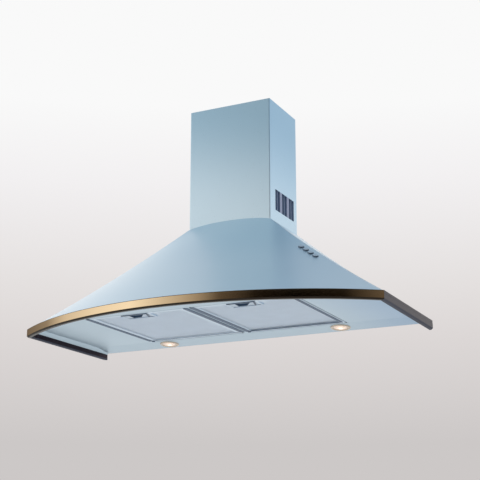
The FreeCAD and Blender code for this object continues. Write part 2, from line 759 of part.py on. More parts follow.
def filter_mesh(prefix, hand):
    body = new_body(f"{prefix}_filter_mesh")
    near, far = d.filter_middle * hand, filter_outer * hand
    inset = d.filter_wall + d.fit_gap
    middle = latch_middle(hand)
    housing_half = d.latch_pocket_width / 2 + d.filter_wall * 2 + d.fit_gap
    housing_rear = filter_front - d.latch_pocket_set - d.latch_pocket_length - inset
    pack = sketch_on(body, "XY_Plane", filter_low + d.filter_wall)
    housing_near, housing_far = middle - housing_half * hand, middle + housing_half * hand
    outline(pack, (near + inset * hand, -filter_front + inset), (housing_near, -filter_front + inset),
            (housing_near, -housing_rear), (housing_far, -housing_rear), (housing_far, -filter_front + inset),
            (far - inset * hand, -filter_front + inset), (far - inset * hand, -filter_rear - inset),
            (near + inset * hand, -filter_rear - inset))
    pad(body, pack, d.mesh_height)


def filter_latch(prefix, hand):
    """Sliding latch: its tongue points forwards and the finger lip hangs below the filter."""
    body = new_body(f"{prefix}_filter_latch")
    middle = latch_middle(hand)
    gap = d.fit_gap
    half = d.latch_pocket_width / 2 - gap
    front = filter_front - d.latch_pocket_set - gap
    rear = front - d.latch_length
    low = filter_low + 1
    block = sketch_on(body, "XY_Plane", low)
    rectangle(block, (middle - half, -front), (middle + half, -rear))
    pad(body, block, d.latch_height)
    wings = sketch_on(body, "XY_Plane", filter_low + d.filter_wall + gap)
    wing_half = half + d.latch_wing
    rectangle(wings, (middle - wing_half, -front), (middle + wing_half, -rear))
    pad(body, wings, d.latch_wing)
    grip = sketch_on(body, "XY_Plane", low)
    rectangle(grip, (middle - half * 0.8, -rear - d.latch_grip_wall), (middle + half * 0.8, -rear))
    pad(body, grip, d.latch_grip + 1, reverse=True)
    tongue = sketch_on(body, "XY_Plane", tongue_up())
    reach = filter_front + d.filter_gap - gap
    rectangle(tongue, (middle - d.latch_tongue / 2, -reach), (middle + d.latch_tongue / 2, -front + 1))
    pad(body, tongue, d.latch_tongue_height)


def hinge_bracket(label, across, width):
    """Bracket on top of the panel, bored for the hinge pins of the filters."""
    body = new_body(label)
    plate = sketch_on(body, "YZ_Plane", across)
    low, high = panel_top, panel_top + d.hinge_bracket_height
    rear = hinge_rear - d.hinge_bracket_length / 2
    rectangle(plate, (-rear - d.hinge_bracket_length, low), (-rear, high))
    circle(plate, (-hinge_rear, hinge_up), d.hinge_pin_radius + d.running_gap)
    pad(body, plate, width, both_ways=True)


# ---------------------------------------------------------------- push buttons


def turned(body, place):
    """Places a body that is drawn in the buttons' own frame: Z out of the shell."""
    body.Placement = Placement(place.Base - Vector(0, 0, d.hang_up.value), place.Rotation)


def button_place(index):
    return d.button_pitch * (index - (d.button_count.value - 1) / 2)


def push_button(index, place):
    body = node("PartDesign::Body", f"push_button_{index + 1}")
    turned(body, place)
    across = button_place(index)
    head_in = d.shell_wall + d.fit_gap * 2
    head = sketch_on(body, "XY_Plane", -head_in)
    circle(head, (across, 0), d.button_radius)
    pad(body, head, d.button_out + head_in)
    stem = sketch_on(body, "XY_Plane", -head_in)
    circle(stem, (across, 0), d.button_stem_radius)
    pad(body, stem, d.button_travel + d.switch_depth / 2, reverse=True)
    soften(body, "Chamfer", d.trim_round, lambda edge: level_at(edge, d.button_out))


def switch_block(place):
    """Block behind the shell that guides the stems of the buttons."""
    body = node("PartDesign::Body", "switch_block")
    turned(body, place)
    top = d.shell_wall + d.fit_gap * 3 + d.button_travel
    half = d.button_pitch * d.button_count / 2 + 2
    block = sketch_on(body, "XY_Plane", -top)
    rectangle(block, (-half, -d.switch_width / 2), (half, d.switch_width / 2))
    pad(body, block, d.switch_depth, reverse=True)
    bores = sketch_on(body, "XY_Plane", -top)
    for index in range(int(d.button_count.value)):
        circle(bores, (button_place(index), 0), d.button_stem_radius + d.running_gap)
    pocket(body, bores, d.switch_depth * 0.75)
    ears = sketch_on(body, "XY_Plane", -top)
    for hand in (-1, 1):
        rectangle(ears, (half * hand, -d.switch_width / 2), ((half - 4) * hand, d.switch_width / 2))
    pad(body, ears, top - d.shell_wall)


# ---------------------------------------------------------------- chimney


def chimney_cover():
    body = new_body("chimney_cover")
    half, front = d.chimney_width / 2, d.chimney_depth
    wall, fold = d.sheet_wall, d.chimney_fold
    low = d.foot_up - d.chimney_lap
    plan = sketch_on(body, "XY_Plane", low)
    outline(plan, (-half, -front), (half, -front), (half, 0), (half - fold, 0), (half - fold, -wall),
            (half - wall, -wall), (half - wall, -front + wall), (-half + wall, -front + wall),
            (-half + wall, -wall), (-half + fold, -wall), (-half + fold, 0), (-half, 0))
    pad(body, plan, d.chimney_top - low)
    slot = sketch_on(body, "YZ_Plane")
    rectangle(slot, (-d.vent_rear - d.vent_slot, d.vent_up), (-d.vent_rear, d.vent_up + d.vent_height))
    first = pocket(body, slot, d.chimney_width * 2, both_ways=True)
    spread = row_of(body, first, slot, "H_Axis", vent_pitch * (d.vent_count - 1), d.vent_count)
    spread.Reversed = True
    doc.recompute()


def vent_grille(label, hand):
    """Grille behind the slots in one side of the chimney: a vane in each slot and a closed back."""
    body = new_body(label)
    face = (d.chimney_width / 2 - d.sheet_wall) * hand
    end = vent_pitch * (d.vent_count - 1) + d.vent_slot
    block = sketch_on(body, "YZ_Plane", face)
    rectangle(block, (-d.vent_rear - end - d.vent_lap, d.vent_up - d.vent_lap),
              (-d.vent_rear + d.vent_lap, d.vent_up + d.vent_height + d.vent_lap))
    pad(body, block, d.vent_depth, reverse=hand > 0)
    half = (d.vent_slot - d.vent_vane) / 2
    wells = sketch_on(body, "YZ_Plane", face)
    for start in (d.vent_rear, d.vent_rear + half + d.vent_vane):
        rectangle(wells, (-start - half, d.vent_up), (-start, d.vent_up + d.vent_height))
    first = pocket(body, wells, d.vent_depth - d.vent_back, along=hand < 0)
    spread = row_of(body, first, wells, "H_Axis", vent_pitch * (d.vent_count - 1), d.vent_count)
    spread.Reversed = True
    doc.recompute()


def chimney_bracket():
    body = new_body("chimney_bracket")
    wall = d.bracket_wall
    out = d.chimney_width / 2 - d.sheet_wall - d.fit_gap
    base = d.chimney_width / 2 - d.chimney_fold - d.fit_gap
    step, end = d.bracket_set, d.bracket_set + d.bracket_tab
    plan = sketch_on(body, "XY_Plane", d.bracket_up)
    outline(plan, (-base, 0), (-base, -step), (-out, -step), (-out, -end), (-out + wall, -end),
            (-out + wall, -step - wall), (-base + wall, -step - wall), (-base + wall, -wall),
            (base - wall, -wall), (base - wall, -step - wall), (out - wall, -step - wall),
            (out - wall, -end), (out, -end), (out, -step), (base, -step), (base, 0))
    pad(body, plan, d.bracket_height)


# ---------------------------------------------------------------- blower


def duct_plate():
    """Carries the blower below it and the outlet above it."""
    body = new_body("duct_plate")
    half = d.duct_plate_width / 2
    wall = d.sheet_wall
    out = d.chimney_width / 2 - wall - d.fit_gap
    plate = sketch_on(body, "XY_Plane", d.duct_plate_up)
    rectangle(plate, (-half, -d.duct_plate_depth), (half, -d.back_wall))
    pad(body, plate, wall)
    rear = sketch_on(body, "XY_Plane", duct_plate_top)
    rectangle(rear, (-out, -d.back_wall - wall), (out, -d.back_wall))
    pad(body, rear, d.panel_flange)
    holes = sketch_on(body, "XY_Plane", d.duct_plate_up)
    circle(holes, (0, -duct_middle), d.spigot_radius - d.spigot_wall)
    circle(holes, (d.gland_side, -d.gland_rear), d.gland_radius * 0.7 + d.fit_gap)
    pocket(body, holes, d.sheet_wall * 2, along=True)


def chimney_collar():
    """Stands on the plate and locates the foot of the chimney."""
    body = new_body("chimney_collar")
    wall = d.sheet_wall
    out = d.chimney_width / 2 - wall - d.fit_gap
    front = d.chimney_depth - wall - d.fit_gap
    start = d.chimney_fold
    plan = sketch_on(body, "XY_Plane", duct_plate_top)
    outline(plan, (-out, -front), (out, -front), (out, -start), (out - wall, -start),
            (out - wall, -front + wall), (-out + wall, -front + wall), (-out + wall, -start), (-out, -start))
    pad(body, plan, d.collar_height)


def scroll_corners(grow):
    """Corners of the scroll's outline, its wall moved outwards by grow: a spiral of three quarter arcs."""
    rear = -d.duct_rear + grow
    front = -d.duct_rear - d.duct_inside - grow
    middle, up = -d.scroll_axis_rear, d.scroll_axis_up
    first = d.scroll_axis_rear - d.duct_rear + grow
    second = first - d.scroll_step
    third = second - d.scroll_step
    half_turn = math.sqrt(0.5)
    low = up - first
    second_up = low + second
    third_across = middle - second + third
    top = second_up + (third.squared() - (front - third_across).squared()).root()
    return [
        (rear, d.duct_plate_up), (rear, up),
        ((middle + first * half_turn, up - first * half_turn), (middle, low)),
        ((middle - second * half_turn, second_up - second * half_turn), (middle - second, second_up)),
        ((third_across - third * half_turn, second_up + third * half_turn), (front, top)),
        (front, d.duct_plate_up),
    ]


def scroll_housing():
    """Spiral casing of the blower with its left cheek; the duct at its top meets the plate."""
    body = new_body("scroll_housing")
    wall = d.scroll_wall
    inside = d.duct_inside
    left = -(inside / 2) - wall
    casing = sketch_on(body, "YZ_Plane", left)
    outline(casing, *scroll_corners(wall))
    pad(body, casing, inside + wall)
    hollow = sketch_on(body, "YZ_Plane", left + wall)
    outline(hollow, *scroll_corners(0))
    pocket(body, hollow, inside, along=True)
    inlet = sketch_on(body, "YZ_Plane", left)
    circle(inlet, (-d.scroll_axis_rear, d.scroll_axis_up), d.inlet_radius)
    pocket(body, inlet, wall * 2, along=True)


def scroll_cheek():
    """Right cheek of the blower, which carries the motor bracket."""
    body = new_body("scroll_cheek")
    cheek = sketch_on(body, "YZ_Plane", d.duct_inside / 2)
    outline(cheek, *scroll_corners(d.scroll_wall))
    circle(cheek, (-d.scroll_axis_rear, d.scroll_axis_up), d.inlet_radius)
    pad(body, cheek, d.scroll_wall)


def axis_body(label):
    """A sub-part drawn round the blower's axis: sketches on the YZ plane are centred on it."""
    body = node("PartDesign::Body", label)
    bind(body, "Placement.Base.y", -d.scroll_axis_rear)
    bind(body, "Placement.Base.z", d.scroll_axis_up - d.hang_up)
    return body


def blower_wheel():
    """Double-inlet wheel: forward-curved blades through a middle disc, with a ring at each end."""
    body = axis_body("blower_wheel")
    outer, inner = d.wheel_radius, d.wheel_radius - d.blade_depth
    half = d.wheel_width / 2
    disc = sketch_on(body, "YZ_Plane")
    circle(disc, (0, 0), outer)
    circle(disc, (0, 0), d.shaft_radius)
    pad(body, disc, d.wheel_ring, both_ways=True)
    hub = sketch_on(body, "YZ_Plane")
    circle(hub, (0, 0), d.hub_radius)
    circle(hub, (0, 0), d.shaft_radius)
    pad(body, hub, d.hub_length, both_ways=True)
    for hand in (-1, 1):
        ring = sketch_on(body, "YZ_Plane", (half - d.wheel_ring) * hand)
        circle(ring, (0, 0), outer)
        circle(ring, (0, 0), outer - d.blade_depth / 2)
        pad(body, ring, d.wheel_ring, reverse=hand < 0)
    blade = sketch_on(body, "YZ_Plane")
    deep, wall = d.blade_depth, d.blade_wall
    near, far = inner, outer - d.blade_wall
    bend = near + deep * 0.5
    outline(blade, (bend, deep * 0.1), (far, deep * 0.5), (far, deep * 0.5 + wall), (bend, deep * 0.1 + wall),
            (near, wall), (near, 0))
    one = pad(body, blade, d.wheel_width - d.wheel_ring, both_ways=True)
    ring_of(body, one, blade, d.blade_count)


def motor_shaft():
    body = axis_body("motor_shaft")
    end = d.motor_start + d.motor_length + d.motor_boss / 2
    start = d.hub_length / 2 + 2
    round_bar = sketch_on(body, "YZ_Plane", -start)
    circle(round_bar, (0, 0), d.shaft_radius)
    pad(body, round_bar, end + start)


def blower_motor():
    body = axis_body("blower_motor")
    can = sketch_on(body, "YZ_Plane", d.motor_start)
    circle(can, (0, 0), d.motor_radius)
    circle(can, (0, 0), d.shaft_radius + d.running_gap)
    pad(body, can, d.motor_length)
    for hand, start in ((-1, d.motor_start), (1, d.motor_start + d.motor_length)):
        boss = sketch_on(body, "YZ_Plane", start)
        circle(boss, (0, 0), d.hub_radius)
        circle(boss, (0, 0), d.shaft_radius + d.running_gap)
        pad(body, boss, d.motor_boss / 3, reverse=hand < 0)
    rim = d.motor_radius.value
    soften(body, "Chamfer", d.trim_round * 4,
           lambda edge: isinstance(edge.Curve, Part.Circle) and abs(edge.Curve.Radius - rim) < 1e-4)


def motor_bracket():
    """Ring round the motor with three arms that reach over the inlet to the right cheek."""
    body = axis_body("motor_bracket")
    start = d.duct_inside / 2 + d.scroll_wall
    ring = sketch_on(body, "YZ_Plane", start)
    circle(ring, (0, 0), d.motor_radius + d.arm_wall)
    circle(ring, (0, 0), d.motor_radius)
    pad(body, ring, d.arm_width)
    arm = sketch_on(body, "YZ_Plane", start)
    rectangle(arm, (-d.arm_width / 2, d.motor_radius + d.arm_wall / 2), (d.arm_width / 2, d.arm_reach))
    one = pad(body, arm, d.arm_wall)
    ring_of(body, one, arm, 3)


def outlet_body(label):
    """A sub-part drawn round the middle of the air outlet, on top of the duct plate."""
    body = node("PartDesign::Body", label)
    bind(body, "Placement.Base.y", -duct_middle)
    bind(body, "Placement.Base.z", duct_plate_top - d.hang_up)
    return body


def outlet_spigot():
    body = outlet_body("outlet_spigot")
    inside = d.spigot_radius - d.spigot_wall
    section = sketch_on(body, "XZ_Plane")
    outline(section, (inside, 0), (d.spigot_radius + d.spigot_flange, 0),
            (d.spigot_radius + d.spigot_flange, d.spigot_wall), (d.spigot_radius, d.spigot_wall),
            (d.spigot_radius, d.spigot_height), (inside, d.spigot_height))
    revolve(body, section)
    stop_top = d.flap_up - d.flap_wall / 2
    rim = inside + d.spigot_wall / 2
    start = inside * 0.9
    reach = (rim.squared() - start.squared()).root()
    for hand in (-1, 1):
        stop = sketch_on(body, "XY_Plane", stop_top - d.flap_stop)
        outline(stop, (-reach, start * hand), ((0, rim * hand), (reach, start * hand)))
        pad(body, stop, d.flap_stop)
    bores = sketch_on(body, "YZ_Plane")
    for hand in (-1, 1):
        circle(bores, (d.flap_set * hand, d.flap_up), d.flap_pin_radius)
    pocket(body, bores, d.spigot_radius * 2.5, both_ways=True)


def damper_pins():
    """The two fixed pins across the outlet."""
    body = outlet_body("damper_pins")
    bars = sketch_on(body, "YZ_Plane")
    for hand in (-1, 1):
        circle(bars, (d.flap_set * hand, d.flap_up), d.flap_pin_radius)
    pad(body, bars, d.spigot_radius * 2 - d.spigot_wall * 2, both_ways=True)


def damper_flap(label, hand):
    """Half-round flap that rests on its stop and swings up about its pin; hand is +1 next to the wall."""
    body = outlet_body(label)
    radius = d.spigot_radius - d.spigot_wall - d.fit_gap * 4
    start = d.flap_set + d.flap_knuckle_radius * 0.6
    across = (radius.squared() - start.squared()).root()
    leaf = sketch_on(body, "XY_Plane", d.flap_up - d.flap_wall / 2)
    outline(leaf, (-across, start * hand), ((0, radius * hand), (across, start * hand)))
    pad(body, leaf, d.flap_wall)
    knuckle = sketch_on(body, "YZ_Plane")
    circle(knuckle, (d.flap_set * hand, d.flap_up), d.flap_knuckle_radius)
    pad(body, knuckle, d.flap_knuckle_length, both_ways=True)
    bore = sketch_on(body, "YZ_Plane")
    circle(bore, (d.flap_set * hand, d.flap_up), d.flap_pin_radius + d.running_gap)
    pocket(body, bore, d.spigot_radius * 2.5, both_ways=True)


# ---------------------------------------------------------------- electrical pieces


def equipment_box(label, hand):
    """Closed box on the back plate, with its edges rounded."""
    body = new_body(label)
    near = d.box_side * hand
    front = sketch_on(body, "XZ_Plane", d.back_wall)
    rectangle(front, (near, d.box_up), (near + d.box_width * hand, d.box_up + d.box_height))
    pad(body, front, d.box_depth)
    soften(body, "Fillet", d.trim_round * 4,
           lambda edge: abs(edge.Vertexes[0].Y - edge.Vertexes[-1].Y) > d.box_depth.value / 2)
    return body


def terminal_lid():
    body = new_body("terminal_box_lid")
    front = sketch_on(body, "XZ_Plane", d.back_wall + d.box_depth)
    rectangle(front, (d.box_side - 1, d.box_up - 1),
              (d.box_side + d.box_width + 1, d.box_up + d.box_height + 1))
    pad(body, front, d.box_lid)
    soften(body, "Fillet", d.trim_round * 2,
           lambda edge: abs(edge.Vertexes[0].Y - edge.Vertexes[-1].Y) > d.box_lid.value / 2)


def motor_capacitor():
    body = new_body("motor_capacitor")
    can = sketch_on(body, "XY_Plane", d.box_up)
    middle = (d.capacitor_side, -d.back_wall - d.capacitor_radius)
    circle(can, middle, d.capacitor_radius)
    pad(body, can, d.capacitor_length)
    soften(body, "Chamfer", d.trim_round * 2, lambda edge: isinstance(edge.Curve, Part.Circle))
    saddle = sketch_on(body, "XY_Plane", d.box_up + d.capacitor_length / 4)
    half = d.capacitor_radius * 0.8
    rectangle(saddle, (d.capacitor_side - half, -d.back_wall - d.capacitor_radius),
              (d.capacitor_side + half, -d.back_wall))
    pad(body, saddle, d.capacitor_length / 2)


def cable_gland():
    """Gland in the duct plate through which the mains lead leaves upwards."""
    body = new_body("cable_gland")
    middle = (d.gland_side, -d.gland_rear)
    flange = sketch_on(body, "XY_Plane", duct_plate_top)
    circle(flange, middle, d.gland_radius)
    pad(body, flange, d.gland_height)
    neck = sketch_on(body, "XY_Plane", duct_plate_top)
    circle(neck, middle, d.gland_radius * 0.7)
    pad(body, neck, d.sheet_wall * 3, reverse=True)
    bore = sketch_on(body, "XY_Plane", d.duct_plate_up - d.sheet_wall * 4)
    circle(bore, middle, d.gland_bore)
    pocket(body, bore, d.gland_height * 3, along=True)


# ---------------------------------------------------------------- whole hood


def build():
    front_trim()
    side_rail("left_side_rail", -1)
    side_rail("right_side_rail", 1)
    row = canopy_shell()
    back_plate()
    underside_panel()
    for prefix, hand in (("left", -1), ("right", 1)):
        filter_frame(prefix, hand)
        filter_mesh(prefix, hand)
        filter_latch(prefix, hand)
        lamp(prefix, hand)
    side_place = filter_outer + d.filter_gap + d.hinge_bracket_width / 2
    hinge_bracket("left_hinge_bracket", -side_place, d.hinge_bracket_width)
    hinge_bracket("centre_hinge_bracket", 0, (d.filter_middle - d.filter_gap) * 2)
    hinge_bracket("right_hinge_bracket", side_place, d.hinge_bracket_width)
    for index in range(int(d.button_count.value)):
        push_button(index, row)
    switch_block(row)
    chimney_cover()
    vent_grille("left_vent_grille", -1)
    vent_grille("right_vent_grille", 1)
    chimney_bracket()
    duct_plate()
    chimney_collar()
    scroll_housing()
    scroll_cheek()
    blower_wheel()
    motor_shaft()
    blower_motor()
    motor_bracket()
    outlet_spigot()
    damper_pins()
    damper_flap("rear_damper_flap", 1)
    damper_flap("front_damper_flap", -1)
    equipment_box("terminal_box", 1)
    terminal_lid()
    equipment_box("lamp_transformer", -1)
    motor_capacitor()
    cable_gland()
    doc.recompute()


def check():
    """Stops at anything that failed to build."""
    for item in doc.Objects:
        if "Invalid" in item.State or "Error" in item.State:
            raise RuntimeError(f"{item.Label} failed: {item.State}")
    for item in nodes:
        if item.Shape.isNull() or not item.Shape.isValid() or not item.Shape.Solids:
            raise RuntimeError(f"{item.Label} has no valid solid")


def write():
    os.makedirs("parts", exist_ok=True)
    for item in nodes:
        item.Shape.exportStep(os.path.join("parts", item.Label + ".step"))
        print(f"{item.Label}: {len(item.Shape.Solids)} solid, {item.Shape.Volume:.0f} mm3")


build()
check()
write()
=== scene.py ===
"""Curved chimney hood: its dressed pieces, finishes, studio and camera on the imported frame.

The classes' fields are in millimetres.  X runs to the right seen from the front, Y into the wall, and
heights are taken from the hood's lower edge.  Objects are in metres, in the frame's own place.
"""
import logging
import math
from collections.abc import Callable, Iterable, Sequence
from dataclasses import dataclass, field
from enum import Enum
from functools import cached_property

import bmesh
import bpy
from mathutils import Matrix, Vector


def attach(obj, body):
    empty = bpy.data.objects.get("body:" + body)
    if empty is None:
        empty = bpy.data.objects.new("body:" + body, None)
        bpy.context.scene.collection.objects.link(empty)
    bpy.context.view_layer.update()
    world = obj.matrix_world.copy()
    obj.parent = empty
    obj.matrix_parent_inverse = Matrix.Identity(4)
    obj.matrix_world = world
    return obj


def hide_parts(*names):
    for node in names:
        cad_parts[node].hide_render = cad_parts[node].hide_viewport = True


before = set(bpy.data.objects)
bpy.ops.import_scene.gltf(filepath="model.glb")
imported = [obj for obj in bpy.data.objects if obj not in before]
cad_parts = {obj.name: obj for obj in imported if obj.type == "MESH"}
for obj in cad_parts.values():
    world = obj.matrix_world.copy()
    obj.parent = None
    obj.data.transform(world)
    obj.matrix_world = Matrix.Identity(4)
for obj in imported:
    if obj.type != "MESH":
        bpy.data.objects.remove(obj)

LOG = logging.getLogger("hood")
HANG_UP = 120.0

Colour = tuple[float, float, float]
Spot = tuple[float, float]
Place = tuple[float, float, float]
Section = tuple[float, float, float, float]


def at(x: float, y: float, up: float) -> Vector:
    """A point of the hood in the frame's metres.

    Args:
        x: Millimetres to the right of the middle.
        y: Millimetres into the wall.
        up: Millimetres above the hood's lower edge.

    Returns:
        The point.
    """
    return Vector((x, y, up - HANG_UP)) / 1000.0


def from_screen(red: float, green: float, blue: float) -> Colour:
    """A linear colour from the three values, 0 to 255, that a screen would show.

    Args:
        red: Red value.
        green: Green value.
        blue: Blue value.

    Returns:
        The linear colour.
    """
    def linear(value: float) -> float:
        """One value made linear."""
        share = value / 255.0
        return share / 12.92 if share <= 0.04045 else ((share + 0.055) / 1.055) ** 2.4

    return linear(red), linear(green), linear(blue)


# ---------------------------------------------------------------- node trees


class Graph:
    """Short calls for wiring one node tree."""

    def __init__(self, tree: bpy.types.NodeTree) -> None:
        """Keeps the tree and starts it empty.

        Args:
            tree: The node tree to fill.
        """
        self.tree = tree
        tree.nodes.clear()

    def add(self, kind: str, **settings: object) -> bpy.types.Node:
        """Adds a node.

        Args:
            kind: Blender's name of the node's type.
            **settings: Properties of the node.

        Returns:
            The node.
        """
        node = self.tree.nodes.new(kind)
        for name, value in settings.items():
            setattr(node, name, value)
        return node

    def feed(self, socket: bpy.types.NodeSocket, value: object) -> None:
        """Links an output to a socket, or sets the socket's own value.

        Args:
            socket: The input.
            value: An output socket, a number or a tuple.
        """
        if isinstance(value, bpy.types.NodeSocket):
            self.tree.links.new(value, socket)
        elif isinstance(value, tuple) and len(value) == 3 and socket.type == "RGBA":
            socket.default_value = (*value, 1.0)
        else:
            socket.default_value = value

    def math(self, kind: str, *values: object, clamp: bool = False) -> bpy.types.NodeSocket:
        """Adds a Math node.

        Args:
            kind: The operation.
            *values: Its inputs in order.
            clamp: Whether its result stays between 0 and 1.

        Returns:
            Its output.
        """
        node = self.add("ShaderNodeMath", operation=kind, use_clamp=clamp)
        for socket, value in zip(node.inputs, values):
            self.feed(socket, value)
        return node.outputs[0]

    def vector(self, kind: str, *values: object) -> bpy.types.Node:
        """Adds a Vector Math node.

        Args:
            kind: The operation.
            *values: Its inputs in order.

        Returns:
            The node.
        """
        node = self.add("ShaderNodeVectorMath", operation=kind)
        for socket, value in zip(node.inputs, values):
            self.feed(socket, value)
        return node

    def noise(self, place: object, scale: object, detail: float = 2.0,
              rough: float = 0.5) -> bpy.types.NodeSocket:
        """Adds a Noise node.

        Args:
            place: Where the noise is read.
            scale: Its scale, per metre.
            detail: Its octaves.
            rough: How strong the finer octaves are.

        Returns:
            Its value, about 0.5 on average.
        """
        node = self.add("ShaderNodeTexNoise")
        self.feed(node.inputs["Vector"], place)
        self.feed(node.inputs["Scale"], scale)
        self.feed(node.inputs["Detail"], detail)
        self.feed(node.inputs["Roughness"], rough)
        return node.outputs[0]

    def spread(self, value: object, low: float, high: float, start: object,
               end: object) -> bpy.types.NodeSocket:
        """Maps a value from one range to another, and keeps it there.

        Args:
            value: The value.
            low: Where its range starts.
            high: Where its range ends.
            start: The result at low.
            end: The result at high.

        Returns:
            The mapped value.
        """
        node = self.add("ShaderNodeMapRange")
        for socket, item in zip(node.inputs, (value, low, high, start, end)):
            self.feed(socket, item)
        return node.outputs[0]

    def blend(self, share: object, first: object, second: object) -> bpy.types.NodeSocket:
        """Mixes two colours.

        Args:
            share: The share of the second colour.
            first: First colour.
            second: Second colour.

        Returns:
            The mixed colour.
        """
        node = self.add("ShaderNodeMix", data_type="RGBA")
        self.feed(node.inputs[0], share)
        self.feed(node.inputs[6], first)
        self.feed(node.inputs[7], second)
        return node.outputs[2]

    def ramp(self, share: object, stops: Iterable[tuple[float, Colour]]) -> bpy.types.NodeSocket:
        """Adds a colour ramp.

        Args:
            share: Its input.
            stops: Places, 0 to 1, with linear colours, in rising order.

        Returns:
            Its colour.
        """
        node = self.add("ShaderNodeValToRGB")
        band = node.color_ramp
        for index, (place, colour) in enumerate(stops):
            stop = band.elements[index] if index < 2 else band.elements.new(place)
            stop.position = place
            stop.color = (*colour, 1.0)
        self.feed(node.inputs[0], share)
        return node.outputs[0]


class Effect:
    """A shader node group that materials share.  It is made once, at its first use."""

    name = ""
    inputs: tuple[tuple[str, str], ...] = ()
    outputs: tuple[tuple[str, str], ...] = ()
    kinds = {"vector": "NodeSocketVector", "value": "NodeSocketFloat", "colour": "NodeSocketColor"}

    def wire(self, graph: Graph, given: dict[str, bpy.types.NodeSocket]) -> dict[str, bpy.types.NodeSocket]:
        """Wires the group's inside.

        Args:
            graph: The group's tree.
            given: Its inputs by name.

        Returns:
            What goes to each output, by name.
        """
        raise NotImplementedError

    def tree(self) -> bpy.types.NodeTree:
        """Makes the group's tree at the first call.

        Returns:
            The tree.
        """
        known = bpy.data.node_groups.get(self.name)
        if known:
            return known
        tree = bpy.data.node_groups.new(self.name, "ShaderNodeTree")
        graph = Graph(tree)
        for name, kind in self.inputs:
            tree.interface.new_socket(name=name, in_out="INPUT", socket_type=self.kinds[kind])
        for name, kind in self.outputs:
            tree.interface.new_socket(name=name, in_out="OUTPUT", socket_type=self.kinds[kind])
        start = graph.add("NodeGroupInput")
        end = graph.add("NodeGroupOutput")
        given = {name: start.outputs[name] for name, _ in self.inputs}
        for name, result in self.wire(graph, given).items():
            graph.feed(end.inputs[name], result)
        return tree

    def use(self, graph: Graph, **values: object) -> bpy.types.Node:
        """Places the group in a material.

        Args:
            graph: The material's tree.
            **values: Its inputs, with underscores for spaces.

        Returns:
            The group node.
        """
        node = graph.add("ShaderNodeGroup", node_tree=self.tree())
        for name, value in values.items():
            graph.feed(node.inputs[name.replace("_", " ")], value)
        return node


class CloudEffect(Effect):
    """Broad, faint changes of a colour, as rolled or moulded stock has."""

    name = "cloud_variation"
    inputs = (("Place", "vector"), ("Colour", "colour"), ("Scale", "value"), ("Amount", "value"))
    outputs = (("Colour", "colour"),)
    octaves = 3.0
    finer = 0.45

    def wire(self, graph: Graph, given: dict[str, bpy.types.NodeSocket]) -> dict[str, bpy.types.NodeSocket]:
        """Scales the colour by a soft noise.

        Args:
            graph: The group's tree.
            given: Its inputs by name.

        Returns:
            The colour.
        """
        cloud = graph.noise(given["Place"], given["Scale"], self.octaves, self.finer)
        swing = graph.math("MULTIPLY", graph.math("SUBTRACT", cloud, 0.5), given["Amount"])
        factor = graph.math("ADD", swing, 1.0)
        scaled = graph.vector("SCALE", given["Colour"])
        graph.feed(scaled.inputs["Scale"], factor)
        return {"Colour": scaled.outputs[0]}


class GrainEffect(Effect):
    """Fine grain, drawn out along one direction where the stock was brushed or rolled."""

    name = "surface_grain"
    inputs = (("Place", "vector"), ("Stretch", "vector"), ("Scale", "value"), ("Roughness", "value"),
              ("Swing", "value"))
    outputs = (("Roughness", "value"), ("Height", "value"))
    fine_times = 3.7
    coarse_share = 0.65

    def wire(self, graph: Graph, given: dict[str, bpy.types.NodeSocket]) -> dict[str, bpy.types.NodeSocket]:
        """Reads a stretched noise twice, coarse and fine.

        Args:
            graph: The group's tree.
            given: Its inputs by name.

        Returns:
            Roughness and height.
        """
        drawn = graph.vector("MULTIPLY", given["Place"], given["Stretch"]).outputs[0]
        coarse = graph.noise(drawn, given["Scale"], 3.0, 0.6)
        fine = graph.noise(drawn, graph.math("MULTIPLY", given["Scale"], self.fine_times), 1.0, 0.5)
        height = graph.math("ADD", graph.math("MULTIPLY", coarse, self.coarse_share),
                            graph.math("MULTIPLY", fine, 1.0 - self.coarse_share))
        swing = graph.math("MULTIPLY", graph.math("SUBTRACT", coarse, 0.5), given["Swing"])
        return {"Roughness": graph.math("ADD", given["Roughness"], swing), "Height": height}


class DustEffect(Effect):
    """Sparse specks of dust, most of them on faces that look up."""

    name = "dust_specks"
    inputs = (("Place", "vector"), ("Colour", "colour"), ("Dust", "colour"), ("Scale", "value"),
              ("Amount", "value"))
    outputs = (("Colour", "colour"),)
    peak = (0.62, 0.74)
    slant = (-0.2, 0.8)
    least = 0.15

    def wire(self, graph: Graph, given: dict[str, bpy.types.NodeSocket]) -> dict[str, bpy.types.NodeSocket]:
        """Keeps the peaks of a fine noise and fades them on faces that look down.

        Args:
            graph: The group's tree.
            given: Its inputs by name.

        Returns:
            The colour.
        """
        specks = graph.noise(given["Place"], given["Scale"], 2.0, 0.7)
        peaks = graph.spread(specks, *self.peak, 0.0, 1.0)
        normal = graph.add("ShaderNodeNewGeometry").outputs["Normal"]
        split = graph.add("ShaderNodeSeparateXYZ")
        graph.feed(split.inputs[0], normal)
        facing = graph.spread(split.outputs[2], *self.slant, self.least, 1.0)
        mask = graph.math("MULTIPLY", graph.math("MULTIPLY", peaks, facing), given["Amount"], clamp=True)
        return {"Colour": graph.blend(mask, given["Colour"], given["Dust"])}


